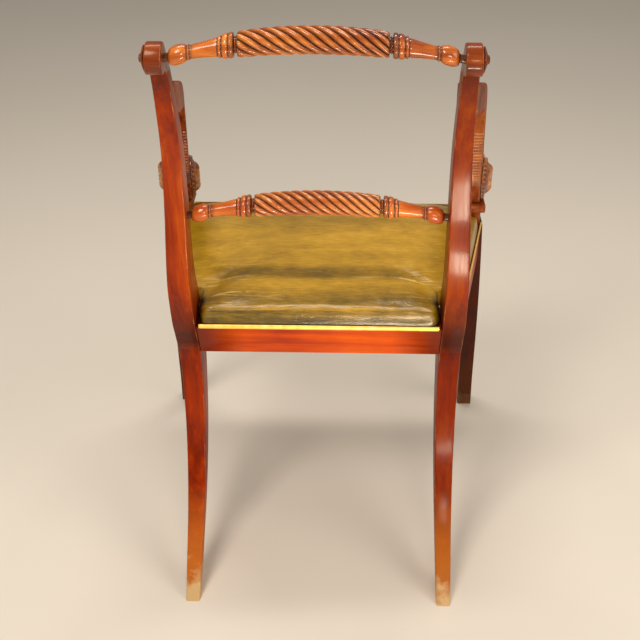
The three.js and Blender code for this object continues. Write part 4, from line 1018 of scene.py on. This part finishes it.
# A rosette: beads round its rim and two rows of petals about its middle, on a turned dish
def makeRosetteTree():
    sizes = {
        "Petals": "NodeSocketInt", "Petal Reach": "NodeSocketFloat", "Petal Size": "NodeSocketVector", "Petal Height": "NodeSocketFloat",
        "Beads": "NodeSocketInt", "Bead Ring": "NodeSocketFloat", "Bead Radius": "NodeSocketFloat", "Bead Height": "NodeSocketFloat", "Wood": "NodeSocketMaterial",
    }
    tree, given, out = newTree("rosette_carving", sizes)
    size = given.outputs
    everything = add(tree, "GeometryNodeJoinGeometry")
    tree.links.new(size["Geometry"], everything.inputs[0])

    def ringOf(count, reach, height, shape, scale, turn, tilt):
        circle = add(tree, "GeometryNodeMeshCircle", {"Vertices": count, "Radius": reach})
        spun = add(tree, "GeometryNodeTransform", {"Geometry": circle, "Translation": add(tree, "ShaderNodeCombineXYZ", {2: height}), "Rotation": (0.0, 0.0, turn)})
        outward = add(tree, "FunctionNodeAlignRotationToVector", {"Vector": add(tree, "GeometryNodeInputPosition")}, axis="X", pivot_axis="Z")
        leaned = add(tree, "FunctionNodeRotateRotation", {"Rotation": outward, "Rotate By": (0.0, tilt, 0.0)}, rotation_space="LOCAL")
        put = add(tree, "GeometryNodeInstanceOnPoints", {"Points": spun, "Instance": shape, "Rotation": leaned, "Scale": scale})
        tree.links.new(put.outputs[0], everything.inputs[0])

    leaf = add(tree, "GeometryNodeMeshUVSphere", {"Segments": 16, "Rings": 10, "Radius": 1.0})
    pearl = add(tree, "GeometryNodeMeshIcoSphere", {"Subdivisions": 3, "Radius": 1.0})
    small = add(tree, "ShaderNodeVectorMath", {0: size["Petal Size"], 1: (0.62, 0.62, 0.8)}, operation="MULTIPLY")
    vein = add(tree, "ShaderNodeVectorMath", {0: size["Petal Size"], 1: (0.86, 0.2, 1.22)}, operation="MULTIPLY")
    inner = add(tree, "ShaderNodeMath", {0: size["Petal Reach"], 1: 0.6}, operation="MULTIPLY")
    outer = add(tree, "ShaderNodeMath", {0: size["Petal Reach"], 1: 1.35}, operation="MULTIPLY")
    lift = add(tree, "ShaderNodeMath", {0: size["Petal Height"], 1: 0.0022}, operation="ADD")
    ringOf(size["Petals"], outer, size["Petal Height"], leaf, size["Petal Size"], 0.0, 0.46)
    ringOf(size["Petals"], outer, size["Petal Height"], leaf, vein, 0.0, 0.46)
    ringOf(size["Petals"], inner, lift, leaf, small, math.pi / 8, 0.18)
    ringOf(size["Beads"], size["Bead Ring"], size["Bead Height"], pearl, add(tree, "ShaderNodeCombineXYZ", {0: size["Bead Radius"], 1: size["Bead Radius"], 2: size["Bead Radius"]}), 0.0, 0.0)
    real = add(tree, "GeometryNodeRealizeInstances", {"Geometry": everything})
    wooded = add(tree, "GeometryNodeSetMaterial", {"Geometry": real, "Material": size["Wood"]})
    tree.links.new(wooded.outputs[0], out.inputs[0])
    return tree


rosetteTree = makeRosetteTree()


def makeRosette(node, side, face):
    radius, height = rosettes["radius"], rosettes["height"]
    profile = rounded(rosettes["profile"], 0.24)
    count = 64
    vertices, faces = [Vector((0, 0, 0))], []
    rows = [row for row in profile if row[0] > 1e-3]
    for r, h in rows:
        vertices += [Vector((r * radius * math.cos(2 * math.pi * k / count), r * radius * math.sin(2 * math.pi * k / count), h * height)) * 0.001 for k in range(count)]
    vertices.append(Vector((0, 0, height)) * 0.001)
    for k in range(count):
        n = (k + 1) % count
        faces.append((0, 1 + n, 1 + k))
        for row in range(len(rows) - 1):
            a = 1 + row * count
            faces.append((a + k, a + n, a + count + n, a + count + k))
        last = 1 + (len(rows) - 1) * count
        faces.append((last + k, last + n, len(vertices) - 1))
    dish = makeObject(f"{node}_dish", vertices, faces, reliefWood, 45)
    values = {
        "Petals": rosettes["petals"], "Petal Reach": rosettes["petalReach"] * 0.001, "Petal Height": height * rosettes["petalStand"] * 0.001,
        "Petal Size": (rosettes["petalLength"] * 0.001, rosettes["petalWidth"] * 0.001, rosettes["petalHeight"] * 0.001),
        "Beads": rosettes["beads"], "Bead Ring": rosettes["beadRing"] * 0.001, "Bead Radius": rosettes["beadRadius"] * 0.001,
        "Bead Height": height * rosettes["beadStand"] * 0.001, "Wood": reliefWood,
    }
    piece = plainMesh(grown(dish, rosetteTree, values), f"{node}_dressed")
    mesh = piece.data
    count = len(mesh.vertices)
    spots = np.zeros(count * 3)
    mesh.vertices.foreach_get("co", spots)
    spots = spots.reshape(-1, 3) * 1000
    placed, grimeAndShade = [], []
    for x, y, stand in spots:
        forward = terminal[0] + x
        stand = min(stand, height)
        placed.append(world(side * (armCentre(forward) + face * (armHalf(forward) + 0.3 + stand)), forward, terminal[1] + y))
        # Points below a dome over the rosette get dirt and painted shade, less at the rim; the raised carving gets wear
        # and a painted highlight
        out = math.hypot(x, y) / radius
        level = height * (0.9 - 0.75 * out * out)
        grimeAndShade.append(float(np.clip((level - stand) / 1.6, 0, 1)) * (0.85 if out < 0.95 else 0.2))
    mesh.vertices.foreach_set("co", np.array(placed).ravel())
    held = mesh.attributes.get("dirt_and_shade") or mesh.attributes.new("dirt_and_shade", "FLOAT", "POINT")
    held.data.foreach_set("value", np.array(grimeAndShade, np.float32))
    rubAndSheen = mesh.attributes.get("wear_and_sheen") or mesh.attributes.new("wear_and_sheen", "FLOAT", "POINT")
    rubAndSheen.data.foreach_set("value", np.clip(spots[:, 2] / height * 1.3, 0, 1).astype(np.float32))
    if side * face > 0:
        mesh.flip_normals()
    mesh.shade_smooth()
    finishPiece(piece, "mahogany", node)


for word, side in (("left", 1), ("right", -1)):
    makeArm(word, side)
    makeRosette(f"inner_rosette_{word}", side, -1)
    makeRosette(f"outer_rosette_{word}", side, 1)
print("arms made")


seat = {
    "heel": 110.2, "rearHalf": 158.6, "notchForward": 173.0, "notchHalf": 165.4, "tuck": 17.0, "frontNotch": 403.0, "frontHalf": 221.7,
    "front": 476.0, "low": 413.3, "side": 28.0, "crown": 15.0, "railRear": 199.0, "railFront": 250.5, "railStart": 170.6, "railEnd": 425.0,
    "voxel": 5.5, "pressure": 4.0, "cap": 2.5, "creaseDepth": 1.8, "creaseForward": 198.0, "creaseWidth": 11.0,
    # draw from the plan and share of the side's height: a nearly upright face and a tight roll
    "profile": [
        (1.0, 0.0), (0.4, .1), (0.0, .26), (0.0, .42), (0.3, .58), (0.9, .72), (1.9, .84), (3.0, .905), (4.2, .938),
        (6.2, .968), (8.2, .996), (10.4, 1.012), (14.0, 1.014), (18.0, 1.005), (24.0, 1.012), (32.0, 1.05),
    ],
}


def railOuter(forward):
    return seat["railRear"] + (seat["railFront"] - seat["railRear"]) * (forward - seat["railStart"]) / (seat["railEnd"] - seat["railStart"])


# The seat's plan, with its corners rounded, seen from above
def seatPlan(inset, corner=9.0):
    notch, front = seat["notchForward"], seat["frontNotch"]
    half = [
        (0, seat["heel"] + inset), (seat["rearHalf"] - inset, seat["heel"] + inset),
        (seat["notchHalf"] - inset, seat["heel"] + seat["tuck"]), (seat["notchHalf"] - inset, notch + inset),
        (railOuter(notch + inset) - inset, notch + inset), (railOuter(front - inset) - inset, front - inset),
        (seat["frontHalf"] - inset, front - inset), (seat["frontHalf"] - inset, seat["front"] - inset),
    ]
    loop = half + [(-x, f) for x, f in half[:0:-1]]
    soft = []
    for index, spot in enumerate(loop):
        a, b, c = np.array(loop[index - 1], float), np.array(spot, float), np.array(loop[(index + 1) % len(loop)], float)
        cut = min(corner, np.linalg.norm(a - b) / 2.2, np.linalg.norm(c - b) / 2.2)
        p, q = b + (a - b) / max(np.linalg.norm(a - b), 1e-9) * cut, b + (c - b) / max(np.linalg.norm(c - b), 1e-9) * cut
        soft += [tuple((1 - t) ** 2 * p + 2 * t * (1 - t) * b + t * t * q) for t in np.linspace(0, 1, 6)]
    return np.array(soft)


seatMiddle = np.array([0.0, (seat["heel"] + seat["front"]) / 2])


# Places evenly spaced along a plan, as bearings and distances from the seat's middle
def spotsRound(plan, count):
    line = np.vstack([plan, plan[:1]])
    reach = np.concatenate([[0], np.cumsum(np.linalg.norm(np.diff(line, axis=0), axis=1))])
    steps = np.linspace(0, reach[-1], count, endpoint=False)
    spots = np.stack([np.interp(steps, reach, line[:, k]) for k in (0, 1)], 1) - seatMiddle
    return np.arctan2(spots[:, 1], spots[:, 0]), np.hypot(spots[:, 0], spots[:, 1])


planAngles, planReach = spotsRound(seatPlan(0.0, 5.0), 1600)


def reachTo(x, forward):
    angle = np.arctan2(forward - seatMiddle[1], x)
    return np.interp(angle, planAngles, planReach, period=2 * math.pi)


# A pad over the seat's plan: an upright face, a tight roll and a crown over the middle
def seatPad(name, inset, low, drop, material, count, inner):
    angles, reach = spotsRound(seatPlan(0.0, 5.0), count)
    reach = reach - inset
    side = seat["side"] - drop
    rings = [(reach - draw, low + side * rise) for draw, rise in seat["profile"]]
    edge, rise = seat["profile"][-1]
    top = low + side * rise
    oval = 1 / np.hypot(np.cos(angles) / seat["frontHalf"], np.sin(angles) / (seatMiddle[1] - seat["heel"]))
    held = reach - edge
    for share in [*np.linspace(1, 0.08, inner)[1:], 0.02]:
        blend = np.minimum(held, oval) * (1 - share ** 3) + held * share ** 3
        rings.append((blend * share, top + (seat["crown"] - 3.4) * (1 - share ** 2)))
    vertices = []
    for distance, height in rings:
        for k in range(count):
            forward = seatMiddle[1] + distance[k] * math.sin(angles[k])
            vertices.append(world(distance[k] * math.cos(angles[k]), forward, height))
    bottom, peak = len(vertices), len(vertices) + 1
    vertices += [world(0, seatMiddle[1], low), world(0, seatMiddle[1], top + seat["crown"] - 3.4)]
    faces = []
    for k in range(count):
        n = (k + 1) % count
        for ring in range(len(rings) - 1):
            a = ring * count
            faces.append((a + k, a + n, a + count + n, a + count + k))
        last = (len(rings) - 1) * count
        faces += [(k, n, bottom), (last + k, last + n, peak)]
    return makeObject(name, vertices, faces, material, 180)


def coordinates(mesh):
    spots = np.zeros(len(mesh.vertices) * 3)
    mesh.vertices.foreach_get("co", spots)
    return spots.reshape(-1, 3)


def applied(piece):
    held = bpy.data.meshes.new_from_object(piece.evaluated_get(bpy.context.evaluated_depsgraph_get()))
    piece.modifiers.clear()
    piece.data = held
    return piece


# How a voxel copy of the pad moves when it is blown out against its nailed lower edge. No point
# moves further than the cap.
def blownOut(piece):
    copy = bpy.data.objects.new("soft_copy", piece.data.copy())
    scene.collection.objects.link(copy)
    remesh = copy.modifiers.new("remesh", "REMESH")
    remesh.mode = "VOXEL"
    remesh.voxel_size = seat["voxel"] * 0.001
    applied(copy)
    rest = coordinates(copy.data)
    nailed = copy.vertex_groups.new(name="nailed")
    low = np.nonzero(rest[:, 2] < (seat["low"] + 3.5) * 0.001)[0]
    nailed.add([int(k) for k in low], 1.0, "REPLACE")
    cloth = copy.modifiers.new("cloth", "CLOTH")
    cloth.settings.vertex_group_mass = "nailed"
    cloth.settings.use_pressure = True
    cloth.settings.uniform_pressure_force = seat["pressure"]
    cloth.settings.effector_weights.gravity = 0
    cloth.settings.tension_stiffness = 25
    cloth.settings.compression_stiffness = 25
    cloth.settings.bending_stiffness = 2
    cloth.point_cache.frame_start, cloth.point_cache.frame_end = 1, 20
    for step in range(1, 21):
        scene.frame_set(step)
    blown = coordinates(copy.evaluated_get(bpy.context.evaluated_depsgraph_get()).data)
    scene.frame_set(1)
    bpy.data.objects.remove(copy)
    move = blown - rest
    length = np.maximum(np.linalg.norm(move, axis=1, keepdims=True), 1e-9)
    return rest, move * np.minimum(1, seat["cap"] * 0.001 / length)


# The blown copy's movement is carried to the finer pad, whose roll is tighter than a voxel
def stuff(piece):
    rest, move = blownOut(piece)
    near = KDTree(len(rest))
    for index, spot in enumerate(rest):
        near.insert(spot, index)
    near.balance()
    spots = coordinates(piece.data)
    moved = spots.copy()
    for index, spot in enumerate(spots):
        found = near.find_n(spot, 8)
        weights = np.array([1 / (distance + 0.002) for held, k, distance in found])
        moves = np.array([move[k] for held, k, distance in found])
        moved[index] += (weights[:, None] * moves).sum(0) / weights.sum()
    print("cloth moved the cover by up to", round(float(np.abs(moved - spots).max() * 1000), 1), "mm")
    piece.data.vertices.foreach_set("co", moved.ravel())
    shape = bmesh.new()
    shape.from_mesh(piece.data)
    bmesh.ops.delete(shape, geom=[v for v in shape.verts if len(v.link_edges) > 60], context="VERTS")
    shape.to_mesh(piece.data)
    shape.free()
    finer = piece.modifiers.new("finer", "SUBSURF")
    finer.levels = finer.render_levels = 1
    applied(piece)
    shape = bmesh.new()
    shape.from_mesh(piece.data)
    rim = [e for e in shape.edges if e.is_boundary and e.verts[0].co.z > (seat["low"] + 20) * 0.001]
    filled = bmesh.ops.contextual_create(shape, geom=rim)["faces"]
    bmesh.ops.poke(shape, faces=filled)
    bmesh.ops.recalc_face_normals(shape, faces=shape.faces)
    shape.to_mesh(piece.data)
    shape.free()
    return piece


# How far the seat sinks towards its front edge, most at the corners
def frontFall(x, forward):
    return (3 + 0.00048 * x ** 2) * np.clip((forward - 385) / 85, 0, 1) ** 2


# The long dip behind the middle, the pulls at the rear corners, the small puckers over the nailed
# edge, and nothing outside the plan
def shapeCover(piece):
    spots = coordinates(piece.data) * 1000
    x, forward, height = spots[:, 0], originForward - spots[:, 1], spots[:, 2]
    up = np.clip((height - 436) / 8, 0, 1)
    centreLine = seat["creaseForward"] - 2 * np.cos(x / 52)
    dip = np.exp(-((forward - centreLine) / seat["creaseWidth"]) ** 2) * up
    height = height - seat["creaseDepth"] * dip * np.clip((150 - np.abs(x)) / 90, 0, 1)
    for sign in (1, -1):
        dx, df = sign * x - 160, forward - 168
        distance, bearing = np.hypot(dx, df), np.arctan2(df, -dx)
        pull = np.sin(bearing * 9 + 0.6) * np.exp(-distance / 30) * np.clip(distance / 12, 0, 1) * up
        height = height + 0.4 * pull
        drop = np.exp(-((sign * x - 150) / 26) ** 2) * np.clip((150 - forward) / 30, 0, 1) * up
        height = height - 2.6 * drop
    wave = np.sin(x / 9.3 + 1.1 * np.sin(x / 23)) + 0.6 * np.sin(x / 4.1 + 2 * np.sin(x / 31))
    roll = np.exp(-((forward - 117) / 8) ** 2) * np.clip((height - 432) / 8, 0, 1)
    height = height + 0.4 * wave * roll
    reach = reachTo(x, forward)
    distance = np.maximum(np.hypot(x, forward - seatMiddle[1]), 1e-6)
    bearing = np.arctan2(forward - seatMiddle[1], x)
    pucker = np.sin(bearing * 96 + 2.2 * np.sin(bearing * 17)) * np.exp(-((height - 419.5) / 4.2) ** 2)
    hold = np.minimum(1, (reach - 0.2 - 0.4 * (1 + pucker)) / distance)
    x, forward = x * hold, seatMiddle[1] + (forward - seatMiddle[1]) * hold
    height = height - frontFall(x, forward) * np.clip((height - 425) / 12, 0, 1)
    top = seat["low"] + seat["side"] + seat["crown"] + 1.5
    height = np.clip(height, seat["low"], top)
    placed = np.stack([x, originForward - forward, height], 1) * 0.001
    piece.data.vertices.foreach_set("co", placed.ravel())
    # The colour marks below are painted shade and a painted highlight, with darkening towards the rear and the sides
    behind = np.clip((190 - forward) / 40, 0, 1)
    # Painted shade on the rear face below the roll
    edge = (np.clip((441 - height) / 4, 0, 1) * 0.66 + np.clip((430 - height) / 12, 0, 1) * 0.36) * behind
    # Painted shade along the crease
    creaseShade = 0.55 * np.clip(2.0 * dip, 0, 1) * np.clip((170 - np.abs(x)) / 60, 0, 1)
    sides = 0.36 * np.clip((np.abs(x) - 145) / 40, 0, 1)
    # Painted shadow of the lower back rail across the seat
    railShadow = 0.3 * np.exp(-((forward - 352) / 28) ** 2) * np.exp(-(x / 130) ** 4)
    near = np.clip((172 - forward) / 40, 0, 1) * 0.62 * (1 - 0.5 * roll)
    # Painted shade, near black, in the notches at the rear corners
    corner = 1.6 * np.exp(-((np.abs(x) - 163) / 10) ** 2) * np.exp(-((forward - 134) / 15) ** 2)
    # A painted highlight, a pale line along the crest of the rear roll
    rollHighlight = np.exp(-((forward - 115.6) / 2.4) ** 2) * np.clip((height - 438.5) / 2, 0, 1)
    rollHighlight = rollHighlight * np.clip((152 - np.abs(x)) / 10, 0, 1) * (0.72 + 0.14 * wave)
    shade_and_highlight = np.maximum.reduce([creaseShade, edge, railShadow, near, corner, sides]) * (1 - rollHighlight) - 0.75 * rollHighlight
    marks = np.exp(-((forward - 172) / 42) ** 2)
    left = np.exp(-((x - 122) / 46) ** 2) * marks
    right = np.exp(-((x + 122) / 46) ** 2) * marks
    for key, values in (("shade_and_highlight", shade_and_highlight), ("scratchedLeft", left), ("scratchedRight", right)):
        held = piece.data.attributes.new(key, "FLOAT", "POINT")
        held.data.foreach_set("value", values.astype(np.float32))
    return piece


def makeSeat():
    cover = shapeCover(stuff(seatPad("leather_cover_dressed", 1.2, seat["low"], 0.0, leather, 440, 12)))
    cover.data.materials.clear()
    cover.data.materials.append(leather)
    # The cover is a skin: its under side is open, and it gets the hide's thickness inwards
    shape = bmesh.new()
    shape.from_mesh(cover.data)
    under = [f for f in shape.faces if f.normal.z < -0.8 and f.calc_center_median().z < (seat["low"] + 2.5) * 0.001]
    bmesh.ops.delete(shape, geom=under, context="FACES")
    shape.to_mesh(cover.data)
    shape.free()
    thick = cover.modifiers.new("thick", "SOLIDIFY")
    thick.thickness, thick.offset = 0.0016, -1
    applied(cover)
    cover.data.shade_smooth()
    finishPiece(cover, "leather", "leather_cover")
    stuffing = seatPad("horsehair_stuffing_dressed", 9.5, 417.6, 11.5, horsehair, 220, 8)
    spots = coordinates(stuffing.data) * 1000
    rough = 0.5 * (np.sin(spots[:, 0] / 3.1) + np.sin(spots[:, 1] / 2.7 + spots[:, 2]))
    sunk = frontFall(spots[:, 0], originForward - spots[:, 1]) * np.clip((spots[:, 2] - 419) / 10, 0, 1)
    spots[:, 2] += np.where(spots[:, 2] > 419, rough - 1, 0) - sunk
    stuffing.data.vertices.foreach_set("co", (spots * 0.001).ravel())
    finishPiece(stuffing, "horsehair", "horsehair_stuffing")


makeSeat()
print("seat made")


strips = {"low": 411.4, "height": 6.6, "proud": 2.1, "rearHalf": 162.0, "frontHalf": 221.7, "recess": 2.5}


# A D-section bead carried along a line; stand pushes it out from the face behind it
def bead(name, points, outs, node):
    section = [(math.cos(a), math.sin(a)) for a in np.linspace(-math.pi / 2, math.pi / 2, 11)]
    vertices, faces, count = [], [], len(section) + 1
    for (x, forward), (ox, of) in zip(points, outs):
        ring = [(0.0, 0.0)] + section
        for reach, up in ring:
            push = 0.3 + max(reach, 0) * strips["proud"]
            vertices.append(world(x + ox * push, forward + of * push, strips["low"] + strips["height"] * (0.5 + 0.5 * up)))
    for row in range(len(points) - 1):
        for k in range(count):
            n = (k + 1) % count
            faces.append((row * count + k, row * count + n, (row + 1) * count + n, (row + 1) * count + k))
    faces.append(tuple(range(count)))
    faces.append(tuple(range((len(points) - 1) * count, len(points) * count)))
    piece = makeObject(name, vertices, faces, brass, 50)
    finishPiece(piece, "brass", node)


rearLine = heelAt(412.0) + strips["recess"]
for word, forward, half, out in (("rear", rearLine, strips["rearHalf"], -1), ("front", seat["front"], strips["frontHalf"], 1)):
    line = [(x, forward) for x in np.linspace(-half, half, 40)]
    bead(f"brass_strip_{word}_dressed", line, [(0, out)] * 40, f"brass_strip_{word}")
for word, side in (("left", 1), ("right", -1)):
    line = [(side * railOuter(f), f) for f in np.linspace(175, 423, 30)]
    bead(f"brass_strip_{word}_dressed", line, [(side, 0)] * 30, f"brass_strip_{word}")
print("brass strips made")


under = {"strapWidth": 50.0, "strapThickness": 1.5, "weaveLift": 0.18, "hessianThickness": 0.8}


# A strap: a strip with a low ripple where its threads cross, given its thickness
def makeStrap(node, alongY):
    low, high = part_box(node)
    middle = (low + high) / 2
    steps, across = 60, 9
    vertices, faces = [], []
    for i in range(steps + 1):
        for j in range(across + 1):
            s, t = i / steps, j / across
            ripple = 0.00012 * math.sin(s * 190) * math.sin(t * math.pi)
            x = low.x + (high.x - low.x) * (t if alongY else s)
            y = low.y + (high.y - low.y) * (s if alongY else t)
            vertices.append((x, y, middle.z + ripple))
    for i in range(steps):
        for j in range(across):
            a = i * (across + 1) + j
            faces.append((a, a + 1, a + across + 2, a + across + 1))
    piece = makeObject(f"{node}_dressed", vertices, faces, webbingCloth, 180)
    thick = piece.modifiers.new("thick", "SOLIDIFY")
    thick.thickness, thick.offset = (high.z - low.z) - 0.0003, 0
    applied(piece)
    finishPiece(piece, "linen", node)


for index in range(1, 5):
    makeStrap(f"webbing_lengthwise_{index}", True)
for index in range(1, 4):
    makeStrap(f"webbing_crosswise_{index}", False)


def makeHessian():
    low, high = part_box("hessian_cloth")
    plan = seatPlan(9.0, 2.0)
    shape = bmesh.new()
    for x, forward in plan:
        shape.verts.new(world(x, forward, 0))
    bmesh.ops.contextual_create(shape, geom=list(shape.verts))
    bmesh.ops.triangulate(shape, faces=list(shape.faces))
    for vertex in shape.verts:
        vertex.co.z = (low.z + high.z) / 2
    area = sum(f.calc_area() for f in shape.faces)
    bmesh.ops.subdivide_edges(shape, edges=list(shape.edges), cuts=2, use_grid_fill=True)
    mesh = bpy.data.meshes.new("hessian_cloth_dressed")
    shape.to_mesh(mesh)
    shape.free()
    mesh.materials.append(hessianCloth)
    piece = bpy.data.objects.new("hessian_cloth_dressed", mesh)
    scene.collection.objects.link(piece)
    turnOut(piece)
    thick = piece.modifiers.new("thick", "SOLIDIFY")
    thick.thickness, thick.offset = under["hessianThickness"] * 0.001, 0
    applied(piece)
    finishPiece(piece, "linen", "hessian_cloth")


makeHessian()
for node, finish, slot in (("rear_leg_tongue", beech, "inner_wood"), ("arm_root_peg", beech, "inner_wood"), ("arm_neck_peg", beech, "inner_wood")):
    for word in ("left", "right"):
        eased(f"{node}_{word}", f"{node}_{word}_dressed", finish, slot, 0.4)
for corner in ("rear", "front"):
    for word in ("left", "right"):
        eased(f"corner_screw_{corner}_{word}", f"corner_screw_{corner}_{word}_dressed", steel, "iron", 0.3)
print("under the seat made")
